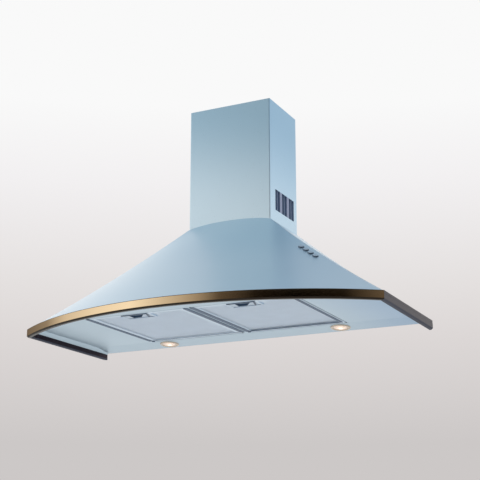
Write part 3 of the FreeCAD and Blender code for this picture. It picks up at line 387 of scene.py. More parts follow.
class SpangleEffect(Effect):
    """Crystal pattern of galvanised sheet."""

    name = "zinc_spangle"
    inputs = (("Place", "vector"), ("Colour", "colour"), ("Scale", "value"), ("Amount", "value"))
    outputs = (("Colour", "colour"), ("Roughness", "value"))
    sheen = (0.32, 0.5)

    def wire(self, graph: Graph, given: dict[str, bpy.types.NodeSocket]) -> dict[str, bpy.types.NodeSocket]:
        """Gives every crystal its own lightness.

        Args:
            graph: The group's tree.
            given: Its inputs by name.

        Returns:
            Colour and roughness.
        """
        cells = graph.add("ShaderNodeTexVoronoi", feature="F1")
        graph.feed(cells.inputs["Vector"], given["Place"])
        graph.feed(cells.inputs["Scale"], given["Scale"])
        split = graph.add("ShaderNodeSeparateColor")
        graph.feed(split.inputs[0], cells.outputs["Color"])
        lightness = split.outputs[0]
        swing = graph.math("MULTIPLY", graph.math("SUBTRACT", lightness, 0.5), given["Amount"])
        scaled = graph.vector("SCALE", given["Colour"])
        graph.feed(scaled.inputs["Scale"], graph.math("ADD", swing, 1.0))
        return {"Colour": scaled.outputs[0], "Roughness": graph.spread(lightness, 0.0, 1.0, *self.sheen)}


class FadeEffect(Effect):
    """A colour that passes into another along a line."""

    name = "colour_fade"
    inputs = (("Place", "vector"), ("Colour", "colour"), ("End", "colour"), ("Line", "vector"),
              ("Near", "value"), ("Far", "value"))
    outputs = (("Colour", "colour"),)

    def wire(self, graph: Graph, given: dict[str, bpy.types.NodeSocket]) -> dict[str, bpy.types.NodeSocket]:
        """Measures the place along the line and mixes by it.

        Args:
            graph: The group's tree.
            given: Its inputs by name.

        Returns:
            The colour.
        """
        along = graph.vector("DOT_PRODUCT", given["Place"], given["Line"]).outputs["Value"]
        share = graph.add("ShaderNodeMapRange", interpolation_type="SMOOTHSTEP")
        for socket, item in zip(share.inputs, (along, given["Near"], given["Far"], 0.0, 1.0)):
            graph.feed(socket, item)
        return {"Colour": graph.blend(share.outputs[0], given["Colour"], given["End"])}


CLOUD = CloudEffect()
GRAIN = GrainEffect()
DUST = DustEffect()
SPANGLE = SpangleEffect()
FADE = FadeEffect()

SPANGLE_SCALE = 130.0
DUST_COLOUR = (0.42, 0.40, 0.37)
DUST_SCALE = 420.0
METAL_GRAIN_DEPTH = 0.0004
GLASS_GRAIN_DEPTH = 0.0003
GLASS_GRAIN_SCALE = 1600.0
GLASS_SWING = 0.08
GLASS_BUMP = 0.12
GLASS_CLEAR = 0.65
GLASS_BEND = 1.47
GLOW_STOPS = ((0.0, (1.0, 0.97, 0.88)), (0.20, (0.98, 0.90, 0.76)), (0.36, (0.46, 0.38, 0.32)),
              (0.75, (0.34, 0.27, 0.23)), (1.0, (0.20, 0.16, 0.14)))


class Grain(Enum):
    """Kinds of fine surface, each with its stretch of the noise."""

    SATIN = (1.0, 1.0, 1.0)
    BRUSHED_ACROSS = (0.04, 1.0, 1.0)
    BRUSHED_DEEP = (1.0, 0.04, 1.0)
    BRUSHED_UP = (1.0, 1.0, 0.04)


@dataclass(frozen=True)
class Fade:
    """A second colour that a finish passes into along a line, in metres."""

    colour: Colour
    line: Place
    near: float
    far: float


@dataclass(frozen=True)
class Finish:
    """One finish of the hood, with its own wear and grain."""

    name: str
    slot: str
    colour: Colour
    metallic: float = 0.0
    roughness: float = 0.5
    grain: Grain = Grain.SATIN
    grain_scale: float = 900.0
    swing: float = 0.06
    bump: float = 0.05
    cloud: float = 0.05
    cloud_scale: float = 5.0
    dust: float = 0.12
    coat: float = 0.0
    coat_roughness: float = 0.06
    spangle: float = 0.0
    fade: Fade | None = None

    def material(self) -> bpy.types.Material:
        """Makes the finish's material at the first call.

        Returns:
            The material.
        """
        title = f"{self.name}_finish"
        known = bpy.data.materials.get(title)
        if known:
            return known
        made = bpy.data.materials.new(title)
        made.use_nodes = True
        graph = Graph(made.node_tree)
        shader = graph.add("ShaderNodeBsdfPrincipled")
        out = graph.add("ShaderNodeOutputMaterial")
        graph.feed(out.inputs["Surface"], shader.outputs[0])
        place = graph.add("ShaderNodeTexCoord").outputs["Object"]
        colour: object = self.colour
        if self.fade:
            fade = FADE.use(graph, Place=place, Colour=colour, End=self.fade.colour, Line=self.fade.line,
                            Near=self.fade.near, Far=self.fade.far)
            colour = fade.outputs["Colour"]
        cloud = CLOUD.use(graph, Place=place, Colour=colour, Scale=self.cloud_scale, Amount=self.cloud)
        colour = cloud.outputs["Colour"]
        grain = GRAIN.use(graph, Place=place, Stretch=self.grain.value, Scale=self.grain_scale,
                          Roughness=self.roughness, Swing=self.swing)
        rough = grain.outputs["Roughness"]
        if self.spangle:
            spangle = SPANGLE.use(graph, Place=place, Colour=colour, Scale=SPANGLE_SCALE, Amount=self.spangle)
            colour, rough = spangle.outputs["Colour"], spangle.outputs["Roughness"]
        dust = DUST.use(graph, Place=place, Colour=colour, Dust=DUST_COLOUR, Scale=DUST_SCALE,
                        Amount=self.dust)
        graph.feed(shader.inputs["Base Color"], dust.outputs["Colour"])
        graph.feed(shader.inputs["Roughness"], rough)
        graph.feed(shader.inputs["Metallic"], self.metallic)
        graph.feed(shader.inputs["Coat Weight"], self.coat)
        graph.feed(shader.inputs["Coat Roughness"], self.coat_roughness)
        bump = graph.add("ShaderNodeBump")
        graph.feed(bump.inputs["Strength"], self.bump)
        graph.feed(bump.inputs["Distance"], METAL_GRAIN_DEPTH)
        graph.feed(bump.inputs["Height"], grain.outputs["Height"])
        graph.feed(shader.inputs["Normal"], bump.outputs[0])
        made.diffuse_color = (*self.colour, 1.0)
        return made


@dataclass(frozen=True)
class GlassFinish:
    """Glass of a lamp: frosted and lit, or clear."""

    name: str
    slot: str
    colour: Colour
    roughness: float
    glow: float
    middle: Place = (0.0, 0.0, 0.0)
    radius: float = 0.02

    def material(self) -> bpy.types.Material:
        """Makes the glass's material at the first call.

        Returns:
            The material.
        """
        title = f"{self.name}_finish"
        known = bpy.data.materials.get(title)
        if known:
            return known
        made = bpy.data.materials.new(title)
        made.use_nodes = True
        graph = Graph(made.node_tree)
        shader = graph.add("ShaderNodeBsdfPrincipled")
        out = graph.add("ShaderNodeOutputMaterial")
        graph.feed(out.inputs["Surface"], shader.outputs[0])
        place = graph.add("ShaderNodeTexCoord").outputs["Object"]
        grain = GRAIN.use(graph, Place=place, Stretch=Grain.SATIN.value, Scale=GLASS_GRAIN_SCALE,
                          Roughness=self.roughness, Swing=GLASS_SWING)
        graph.feed(shader.inputs["Base Color"], self.colour)
        graph.feed(shader.inputs["Roughness"], grain.outputs["Roughness"])
        graph.feed(shader.inputs["Transmission Weight"], GLASS_CLEAR)
        graph.feed(shader.inputs["IOR"], GLASS_BEND)
        bump = graph.add("ShaderNodeBump")
        graph.feed(bump.inputs["Strength"], GLASS_BUMP)
        graph.feed(bump.inputs["Distance"], GLASS_GRAIN_DEPTH)
        graph.feed(bump.inputs["Height"], grain.outputs["Height"])
        graph.feed(shader.inputs["Normal"], bump.outputs[0])
        if self.glow:
            away = graph.vector("DISTANCE", place, self.middle).outputs["Value"]
            share = graph.spread(away, 0.0, self.radius, 0.0, 1.0)
            graph.feed(shader.inputs["Emission Color"], graph.ramp(share, GLOW_STOPS))
            graph.feed(shader.inputs["Emission Strength"], self.glow)
        made.diffuse_color = (*self.colour, 1.0)
        return made


# The canopy's steel passes into a darker, bluer colour towards the top: painted shade.
HOOD_STEEL = Finish("hood_steel", "hood_steel", (0.395, 0.575, 0.73), metallic=0.9, roughness=0.38,
                    grain_scale=1500.0, swing=0.05, bump=0.03, cloud=0.03, cloud_scale=4.0, dust=0.01,
                    coat=0.6, coat_roughness=0.3,
                    fade=Fade((0.34, 0.535, 0.70), (0.0, 0.0, 1.0), -0.02, 0.10))
# The chimney's steel is lighter near its foot and darker and bluer towards its top, and a little towards the
# right: painted reflection.
CHIMNEY_STEEL = Finish("chimney_steel", "hood_steel", (0.57, 0.71, 0.80), metallic=0.9, roughness=0.28,
                       grain=Grain.BRUSHED_UP, grain_scale=1500.0, swing=0.03, bump=0.015, cloud=0.03,
                       cloud_scale=4.0, dust=0.01,
                       fade=Fade((0.315, 0.48, 0.605), (0.25, 0.0, 1.0), 0.15, 0.46))
# The underside panel passes into a darker, bluer colour towards its right end: painted shade.
PANEL_STEEL = Finish("panel_steel", "panel_steel", (0.55, 0.68, 0.78), metallic=0.7, roughness=0.42,
                     grain=Grain.BRUSHED_ACROSS, grain_scale=1300.0, bump=0.04, cloud_scale=6.0,
                     dust=0.05, fade=Fade((0.41, 0.56, 0.73), (1.0, 0.0, 0.0), 0.22, 0.43))
TRIM_METAL = Finish("trim_metal", "trim_metal", (0.87, 0.66, 0.41), metallic=1.0, roughness=0.06,
                    grain=Grain.BRUSHED_ACROSS, grain_scale=700.0, swing=0.02, bump=0.008, cloud=0.03,
                    dust=0.0)
# Dark finish along both edges of the band: on the upper rounding it is painted shadow where the band meets
# the canopy; on the lower chamfer it makes that edge dark.
TRIM_EDGE = Finish("trim_edge", "trim_metal", (0.035, 0.028, 0.022), metallic=1.0, roughness=0.34,
                   swing=0.05, bump=0.03, cloud_scale=8.0, dust=0.04)
RAIL_METAL = Finish("rail_metal", "rail_metal", (0.022, 0.013, 0.020), metallic=1.0, roughness=0.34,
                    grain=Grain.BRUSHED_DEEP, swing=0.05, bump=0.03, cloud=0.06, cloud_scale=9.0,
                    dust=0.05)
RAIL_EDGE = Finish("rail_edge", "rail_metal", (0.045, 0.05, 0.075), roughness=0.7,
                   grain=Grain.BRUSHED_DEEP, swing=0.05, bump=0.03, cloud=0.06, cloud_scale=9.0,
                   dust=0.05)
ZINC_PLATE = Finish("zinc_plate", "zinc_plate", (0.50, 0.52, 0.53), metallic=0.9, roughness=0.38,
                    bump=0.04, dust=0.2, spangle=0.28)
SCROLL_STEEL = Finish("scroll_steel", "scroll_steel", (0.45, 0.47, 0.48), metallic=0.9, roughness=0.40,
                      bump=0.04, dust=0.25, spangle=0.22)
WHEEL_PLASTIC = Finish("wheel_plastic", "wheel_plastic", (0.022, 0.022, 0.024), roughness=0.55,
                       grain_scale=1800.0, bump=0.12, dust=0.3)
SHAFT_STEEL = Finish("shaft_steel", "shaft_steel", (0.46, 0.46, 0.47), metallic=1.0, roughness=0.24,
                     grain=Grain.BRUSHED_UP, grain_scale=2500.0, swing=0.05, cloud=0.03,
                     cloud_scale=9.0, dust=0.05)
MOTOR_IRON = Finish("motor_iron", "motor_iron", (0.05, 0.055, 0.065), metallic=0.3, roughness=0.46,
                    grain_scale=1200.0, bump=0.22, cloud=0.1, cloud_scale=20.0, dust=0.3)
VENT_PLASTIC = Finish("vent_plastic", "duct_plastic", (0.14, 0.20, 0.32), grain_scale=1500.0, bump=0.10,
                      dust=0.1)
VENT_BAR = Finish("vent_bar", "duct_plastic", (0.25, 0.295, 0.44), roughness=0.42, grain_scale=1500.0,
                  bump=0.08, dust=0.05)
DUCT_PLASTIC = Finish("duct_plastic", "duct_plastic", (0.016, 0.019, 0.024), grain_scale=1500.0,
                      bump=0.12)
BOX_PLASTIC = Finish("box_plastic", "box_plastic", (0.70, 0.70, 0.66), roughness=0.42,
                     grain_scale=1500.0, bump=0.1, dust=0.2)
CAPACITOR_PLASTIC = Finish("capacitor_plastic", "capacitor_plastic", (0.60, 0.60, 0.55), roughness=0.35,
                           grain_scale=1400.0, bump=0.06, dust=0.2)
FILTER_ALUMINIUM = Finish("filter_aluminium", "filter_aluminium", (0.62, 0.74, 0.86), metallic=0.7,
                          roughness=0.36, grain=Grain.BRUSHED_DEEP, grain_scale=1300.0, bump=0.04,
                          cloud_scale=10.0, dust=0.05)
MESH_ALUMINIUM = Finish("mesh_aluminium", "mesh_aluminium", (0.68, 0.78, 0.89), metallic=0.5,
                        roughness=0.42, grain_scale=1600.0, swing=0.08, bump=0.08, cloud=0.10,
                        cloud_scale=30.0, dust=0.08)
# Dark blue strips round the filters: painted shadow of the gap between each filter and the panel. The hinge
# clip has the same finish.
GAP_SHADOW_AND_CLIP = Finish("filter_gap_shadow_and_clip", "latch_plastic", (0.085, 0.135, 0.215), grain_scale=1800.0, bump=0.1,
                dust=0.1)
# Dark blue finish: the latch tongue's plastic, and painted shade on the block at the recess's front, on the
# rib along the latch plate's right side and on the finger hollow's walls.
LATCH_PLASTIC_AND_SHADE = Finish("latch_plastic", "latch_plastic", (0.045, 0.085, 0.15), roughness=0.42,
                       grain_scale=1800.0, bump=0.1, dust=0.1)
# Floor of the finger hollow, darker than the plate: painted shade.
LATCH_HOLLOW_SHADE = Finish("latch_hollow_shade", "latch_plastic", (0.17, 0.245, 0.345), roughness=0.42,
                      grain_scale=1800.0, bump=0.1, dust=0.1)
LATCH_PLATE = Finish("latch_plate", "filter_aluminium", (0.50, 0.60, 0.71), metallic=0.7,
                     roughness=0.42, grain=Grain.BRUSHED_ACROSS, grain_scale=1500.0, swing=0.05,
                     bump=0.04, cloud_scale=10.0, dust=0.05)
LAMP_CHROME = Finish("lamp_chrome", "lamp_chrome", (0.62, 0.52, 0.42), metallic=1.0, roughness=0.16,
                     grain_scale=1500.0, swing=0.03, bump=0.01, cloud=0.03, cloud_scale=20.0, dust=0.05)
REFLECTOR = Finish("reflector_aluminium", "reflector_aluminium", (0.82, 0.80, 0.76), metallic=1.0,
                   roughness=0.14, grain_scale=800.0, swing=0.04, bump=0.04, cloud=0.04,
                   cloud_scale=20.0, dust=0.05)
# Dark finish on the buttons' sides and the rings round them, and on the screws' cross slots: painted shade.
BUTTON_SIDE_SHADE = Finish("button_side_shade", "button_plastic", (0.075, 0.11, 0.16), roughness=0.35,
                     grain_scale=2500.0, dust=0.05)
BUTTON_TOP = Finish("button_top", "button_plastic", (0.34, 0.47, 0.60), metallic=0.8, roughness=0.30,
                    grain_scale=2500.0, bump=0.03, dust=0.05)
SCREW_ZINC = Finish("screw_zinc", "zinc_plate", (0.55, 0.55, 0.53), metallic=1.0, roughness=0.3,
                    grain_scale=2500.0, bump=0.04, dust=0.1)
FLOOR_CLAY = Finish("floor_clay", "", (0.80, 0.80, 0.79), roughness=0.8, grain_scale=60.0, bump=0.02,
                    cloud=0.02, cloud_scale=1.0, dust=0.0)
BULB_GLASS = GlassFinish("bulb_glass", "bulb_glass", (1.0, 0.97, 0.90), roughness=0.08, glow=0.0)


# ---------------------------------------------------------------- meshes


class Maker:
    """Collects the points and faces of one piece and turns them into an object."""

    pointed = 1e-6
    merge = 1e-7
    bevel_rings = 3
    bevel_angle = 35.0

    def __init__(self, name: str) -> None:
        """Starts an empty mesh.

        Args:
            name: The piece's name.
        """
        self.name = name
        self.mesh = bmesh.new()

    def row(self, points: Iterable[Place]) -> list[bmesh.types.BMVert]:
        """Adds points, in millimetres, and returns them as a row."""
        return [self.mesh.verts.new(at(*point)) for point in points]

    def rows(self, rows: Sequence[Sequence[bmesh.types.BMVert]], closed: bool = False, finish: int = 0,
             keep: Callable[[int, int], bool] | None = None) -> None:
        """Fills the quads between rows of points.

        Args:
            rows: The rows, of equal length.
            closed: Whether each row joins its own start.
            finish: Which of the piece's finishes the faces get.
            keep: Tells, by row and column, whether a quad is made.
        """
        count = len(rows[0])
        for index, (first, second) in enumerate(zip(rows, rows[1:])):
            for column in range(count if closed else count - 1):
                if keep and not keep(index, column):
                    continue
                after = (column + 1) % count
                corners = [first[column], first[after], second[after], second[column]]
                if len(set(corners)) == 4:
                    self.mesh.faces.new(corners).material_index = finish

    def face(self, row: Sequence[bmesh.types.BMVert], finish: int = 0) -> None:
        """Fills one face from a closed row of points."""
        self.mesh.faces.new(row).material_index = finish

    def prism(self, plan: Sequence[Spot], low: float, high: float, finish: int = 0) -> None:
        """Adds a closed upright prism.

        Args:
            plan: Its corners seen from above.
            low: Height of its lower face.
            high: Height of its upper face.
            finish: Which of the piece's finishes it gets.
        """
        bottom = self.row((x, y, low) for x, y in plan)
        top = self.row((x, y, high) for x, y in plan)
        self.rows([bottom, top], closed=True, finish=finish)
        self.face(bottom[::-1], finish)
        self.face(top, finish)

    def turned(self, profile: Sequence[Spot], place: Matrix, steps: int = 48, finish: int = 0,
               finishes: Sequence[int] | None = None) -> None:
        """Adds a turned form: a profile of radius and height, spun about its own Z axis.

        Args:
            profile: Radii and heights in millimetres, in order.
            place: Where its axis stands, in metres.
            steps: Points round it.
            finish: Which of the piece's finishes it gets.
            finishes: A finish for each stretch of the profile, in place of the one.
        """
        rings = []
        for radius, height in profile:
            if radius < self.pointed:
                rings.append([self.mesh.verts.new(place @ Vector((0, 0, height / 1000)))] * steps)
                continue
            ring = []
            for step in range(steps):
                angle = 2 * math.pi * step / steps
                local = Vector((radius * math.cos(angle), radius * math.sin(angle), height)) / 1000
                ring.append(self.mesh.verts.new(place @ local))
            rings.append(ring)
        for index, (first, second) in enumerate(zip(rings, rings[1:])):
            number = finishes[index] if finishes else finish
            for step in range(steps):
                after = (step + 1) % steps
                corners = [first[step], first[after], second[after], second[step]]
                kept = list(dict.fromkeys(corners))
                if len(kept) >= 3:
                    self.mesh.faces.new(kept).material_index = number

    def done(self, finishes: Sequence[Finish | GlassFinish], body: str = "hood",
             instead_of: Sequence[str] = (), angle: float = 32.0, wall: float = 0.0,
             round_off: float = 0.0) -> bpy.types.Object:
        """Turns the mesh into an object that rides on a body.

        Args:
            finishes: Its finishes, in the order of the faces' numbers.
            body: The body it rides on.
            instead_of: The CAD nodes it stands for.
            angle: Edges sharper than this, in degrees, stay crisp.
            wall: Thickness that is added behind the faces, in millimetres.
            round_off: Width of the rounding of its sharp edges, in millimetres.

        Returns:
            The object.
        """
        bmesh.ops.remove_doubles(self.mesh, verts=self.mesh.verts, dist=self.merge)
        bmesh.ops.recalc_face_normals(self.mesh, faces=self.mesh.faces)
        data = bpy.data.meshes.new(self.name)
        self.mesh.to_mesh(data)
        self.mesh.free()
        piece = bpy.data.objects.new(self.name, data)
        bpy.context.scene.collection.objects.link(piece)
        for finish in finishes:
            data.materials.append(finish.material())
        if wall:
            solid = piece.modifiers.new("wall", "SOLIDIFY")
            solid.thickness = wall / 1000
            solid.offset = -1.0
            solid.use_even_offset = True
        if round_off:
            bevel = piece.modifiers.new("round_off", "BEVEL")
            bevel.width = round_off / 1000
            bevel.segments = self.bevel_rings
            bevel.limit_method = "ANGLE"
            bevel.angle_limit = math.radians(self.bevel_angle)
        if piece.modifiers:
            state = bpy.context.evaluated_depsgraph_get()
            shaped = bpy.data.meshes.new_from_object(piece.evaluated_get(state))
            piece.modifiers.clear()
            piece.data = data = shaped
        for polygon in data.polygons:
            polygon.use_smooth = True
        data.set_sharp_from_angle(angle=math.radians(angle))
        level = piece.modifiers.new("level_normals", "WEIGHTED_NORMAL")
        level.keep_sharp = True
        if instead_of:
            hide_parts(*instead_of)
        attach(piece, body)
        LOG.info("%s: %d faces on %s", self.name, len(data.polygons), body)
        return piece


def rounded(plan: Sequence[Spot], radius: float, steps: int = 4) -> list[Spot]:
    """Rounds the corners of a closed outline.

    Args:
        plan: Its corners, in order.
        radius: Length cut from each side of a corner.
        steps: Points in each rounding.

    Returns:
        The rounded outline.
    """
    longest = 0.45
    result = []
    for index, corner in enumerate(plan):
        here = Vector(corner)
        before = Vector(plan[index - 1]) - here
        after = Vector(plan[(index + 1) % len(plan)]) - here
        cut = min(radius, before.length * longest, after.length * longest)
        start, end = here + before.normalized() * cut, here + after.normalized() * cut
        for step in range(steps + 1):
            share = step / steps
            point = start * (1 - share) ** 2 + here * 2 * share * (1 - share) + end * share ** 2
            result.append((point.x, point.y))
    return result


def block(left: float, front: float, right: float, rear: float) -> list[Spot]:
    """The four corners of a level rectangle, in order."""
    return [(left, front), (right, front), (right, rear), (left, rear)]


# ---------------------------------------------------------------- canopy


@dataclass
class FrameLine:
    """Outline of the hood's lower frame: straight sides and a curved front."""

    half: float = 450.0
    side: float = 340.0
    centre: float = 492.0

    @property
    def radius(self) -> float:
        """Radius of the curved front."""
        bow = self.centre - self.side
        return (self.half ** 2 + bow ** 2) / (2 * bow)

    def inset(self, by: float) -> tuple[float, float, float]:
        """The outline moved inwards.

        Args:
            by: How far it is moved.

        Returns:
            Its half width, side depth and middle depth.
        """
        half = self.half - by
        side = math.sqrt((self.radius - by) ** 2 - half ** 2) - (self.radius - self.centre)
        return half, side, self.centre - by

    def front_point(self, by: float, share: float) -> Spot:
        """A point of the curved front, moved inwards.

        Args:
            by: How far it is moved.
            share: Place along the front, from -1 at the left to 1 at the right.

        Returns:
            The point seen from above.
        """
        radius = self.radius - by
        angle = math.asin((self.half - by) / radius) * share
        return radius * math.sin(angle), self.radius - self.centre - radius * math.cos(angle)


@dataclass
class Canopy:
    """Flared sheet-metal canopy between the frame and the chimney.

    A section is a height, a half width, a side depth and a front depth.
    """

    line: FrameLine = field(default_factory=FrameLine)
    hem_inset: float = 2.8
    hem_low: float = 15.2
    hem_top: float = 20.5
    hem_round: float = 0.6
    waist_up: float = 97.0
    waist_sag: float = 7.0
    waist_share: float = 0.30
    chimney_half: float = 110.0
    chimney_front: float = 159.0
    chimney_gap: float = 0.3
    foot_up: float = 274.0
    foot_lift: float = 9.0
    crown_rise: float = 16.0
    rear: float = -1.5
    arc_steps: int = 144
    side_steps: int = 20
    rise_steps: int = 36
    rise_power: float = 1.15
    first_rise: float = 0.004
    wall: float = 1.6

    @cached_property
    def sections(self) -> list[Section]:
        """The canopy's level sections.

        Returns:
            The hem, the waist, which sags below a straight side, and the crown.
        """
        half, side, front = self.line.inset(self.hem_inset)
        rise = self.foot_up - self.hem_top
        front_rise = rise + self.foot_lift
        fall = self.waist_up + self.waist_sag - self.hem_top

        def section(up: float, share: float, front_share: float) -> Section:
            """A section some share of the way from the hem to the chimney."""
            return (up, half - share * (half - self.chimney_half), side - share * (side - self.chimney_front),
                    front - front_share * (front - self.chimney_front))

        top = self.crown_rise
        return [section(self.hem_top, 0.0, 0.0), section(self.waist_up, fall / rise, fall / front_rise),
                section(self.foot_up + top, 1 + top / rise, 1 + (top - self.foot_lift) / front_rise)]

    def outline_spot(self, section: Section, share: float) -> Spot:
        """A point of a level section.

        Args:
            section: Height, half width, side depth and front depth.
            share: 0 to 1 along the left side, 1 to 2 along the front, 2 to 3 along the right side.

        Returns:
            Its place.
        """
        _, half, side, front = section
        if share <= 1:
            return -half, self.rear + (-side - self.rear) * share
        if share >= 2:
            return half, self.rear + (-side - self.rear) * (3 - share)
        bow = front - side
        radius = (half ** 2 + bow ** 2) / (2 * bow)
        angle = math.asin(half / radius) * (2 * share - 3)
        return radius * math.sin(angle), radius - front - radius * math.cos(angle)

    def spot(self, share: float, rise: float) -> Place:
        """A point of the canopy.

        Args:
            share: Place along the outline, 0 to 3.
            rise: 0 at the hem, 1 at the crown.

        Returns:
            Its place.
        """
        waist = self.waist_share
        weights = ((rise - waist) * (rise - 1) / waist, rise * (rise - 1) / (waist * (waist - 1)),
                   rise * (rise - waist) / (1 - waist))
        result = [0.0, 0.0, 0.0]
        for weight, section in zip(weights, self.sections):
            x, y = self.outline_spot(section, share)
            for index, value in enumerate((x, y, section[0])):
                result[index] += weight * value
        return tuple(result)

    def foot_rise(self, share: float) -> float:
        """How far up a line of the canopy meets the chimney, found by halving.

        Args:
            share: Place along the outline, 0 to 3.

        Returns:
            The rise, 0 at the hem and 1 at the crown.
        """
        low, high, halvings = 0.5, 1.0, 28
        half, front = self.chimney_half + self.chimney_gap, self.chimney_front + self.chimney_gap
        for _ in range(halvings):
            middle = (low + high) / 2
            x, y, _ = self.spot(share, middle)
            if abs(x) <= half and y >= -front:
                high = middle
            else:
                low = middle
        return high

    def shares(self) -> list[float]:
        """The places along the outline at which the mesh has a line of points.

        Returns:
            The places, 0 to 3.
        """
        left = [index / self.side_steps for index in range(self.side_steps)]
        front = [1 + index / self.arc_steps for index in range(self.arc_steps)]
        right = [2 + index / self.side_steps for index in range(self.side_steps + 1)]
        return left + front + right

    def build(self) -> None:
        """Makes the skin with its hem."""
        maker = Maker("canopy_skin")
        shares = self.shares()
        tops = [self.foot_rise(share) for share in shares]
        hem = [self.outline_spot(self.sections[0], share) for share in shares]
        rows = [maker.row((x, y, self.hem_low) for x, y in hem),
                maker.row((x, y, self.hem_top - self.hem_round) for x, y in hem)]
        rises = [self.first_rise]
        rises += [(step / self.rise_steps) ** self.rise_power for step in range(1, self.rise_steps + 1)]
        for rise in rises:
            rows.append(maker.row(self.spot(share, rise * top) for share, top in zip(shares, tops)))
        maker.rows(rows)
        maker.done([HOOD_STEEL], instead_of=["canopy_shell"], wall=self.wall, angle=50.0)


@dataclass
class FrontTrim:
    """Curved band round the front of the frame."""

    line: FrameLine = field(default_factory=FrameLine)
    steps: int = 160
    profile: tuple[Spot, ...] = (
        (10.0, 14.0), (10.0, 0.4), (9.6, 0.0), (3.4, 0.0), (2.9, 0.15), (0.45, 2.6), (0.1, 3.1), (0.0, 3.6),
        (0.0, 19.2), (0.12, 19.8), (0.45, 20.25), (0.95, 20.5), (2.2, 20.5), (2.5, 20.2), (2.5, 14.0))
    dark_lower: range = range(2, 7)
    # Columns of the upper rounding, dark as painted shadow where the band meets the canopy.
    painted_shadow_upper: range = range(8, 13)

    def build(self) -> None:
        """Sweeps the profile round the front, bright on its face and dark along both edges; the dark upper
        edge is painted shadow where the band meets the canopy.
        """
        maker = Maker("trim_band")
        rows = []
        for index in range(self.steps + 1):
            share = 2 * index / self.steps - 1
            rows.append(maker.row((*self.line.front_point(inset, share), up) for inset, up in self.profile))
        count = len(self.profile)
        for column in range(count):
            dark = column in self.dark_lower or column in self.painted_shadow_upper
            pair = [[row[column], row[(column + 1) % count]] for row in rows]
            maker.rows(pair, finish=1 if dark else 0)
        maker.face(rows[0][::-1])
        maker.face(rows[-1])
        maker.done([TRIM_METAL, TRIM_EDGE], instead_of=["front_trim"], angle=28.0)


@dataclass
class SideRail:
    """Straight rail along one lower side edge, rounded at the wall, with a matt lower edge."""

    hand: int
    line: FrameLine = field(default_factory=FrameLine)
    gap: float = 0.3
    wall: float = 10.0
    lip: float = 2.5
    ledge_up: float = 14.0
    top: float = 20.5
    rear_round: float = 6.0
    rear_steps: int = 8
    bevel: float = 3.0
    blend: float = 0.25
    overlap: float = 0.01
    edge_round: float = 0.35

    def plan(self, inset: float, depth: float, rear: float, round_rear: bool) -> list[Spot]:
        """Outline of the rail seen from above.

        Args:
            inset: Outer face from the frame's outer line.
            depth: Level thickness.
            rear: Where it ends towards the wall.
            round_rear: Whether its outer rear corner is rounded.

        Returns:
            Its corners.
        """
        outer, outer_side, _ = self.line.inset(inset)
        inner, inner_side, _ = self.line.inset(depth)
        corners = [(outer, -outer_side + self.gap)]
        if round_rear:
            for step in range(self.rear_steps + 1):
                angle = math.pi / 2 * step / self.rear_steps
                corners.append((outer - self.rear_round * (1 - math.cos(angle)),
                                -self.rear_round * (1 - math.sin(angle))))
        else:
            corners.append((outer, rear))
        corners += [(inner, rear), (inner, -inner_side + self.gap)]
        return [(x * self.hand, y) for x, y in corners]

    def build(self) -> None:
        """Makes the ledge with its matt bottom and slanted lower edge, and the lip."""
        name = "left" if self.hand < 0 else "right"
        maker = Maker(f"{name}_rail")
        levels = [(self.bevel, 0.0), (self.blend, self.bevel - self.blend), (0.0, self.bevel + self.blend),
                  (0.0, self.ledge_up)]
        rows = []
        for inset, up in levels:
            rows.append(maker.row((x, y, up) for x, y in self.plan(inset, self.wall, 0.0, True)))
        maker.rows(rows[:3], closed=True, finish=1)
        maker.rows(rows[2:], closed=True)
        maker.face(rows[0][::-1], finish=1)
        maker.face(rows[-1])
        maker.prism(self.plan(0.0, self.lip, -self.rear_round, False), self.ledge_up - self.overlap, self.top)
        maker.done([RAIL_METAL, RAIL_EDGE], instead_of=[f"{name}_side_rail"], round_off=self.edge_round)


# ---------------------------------------------------------------- chimney


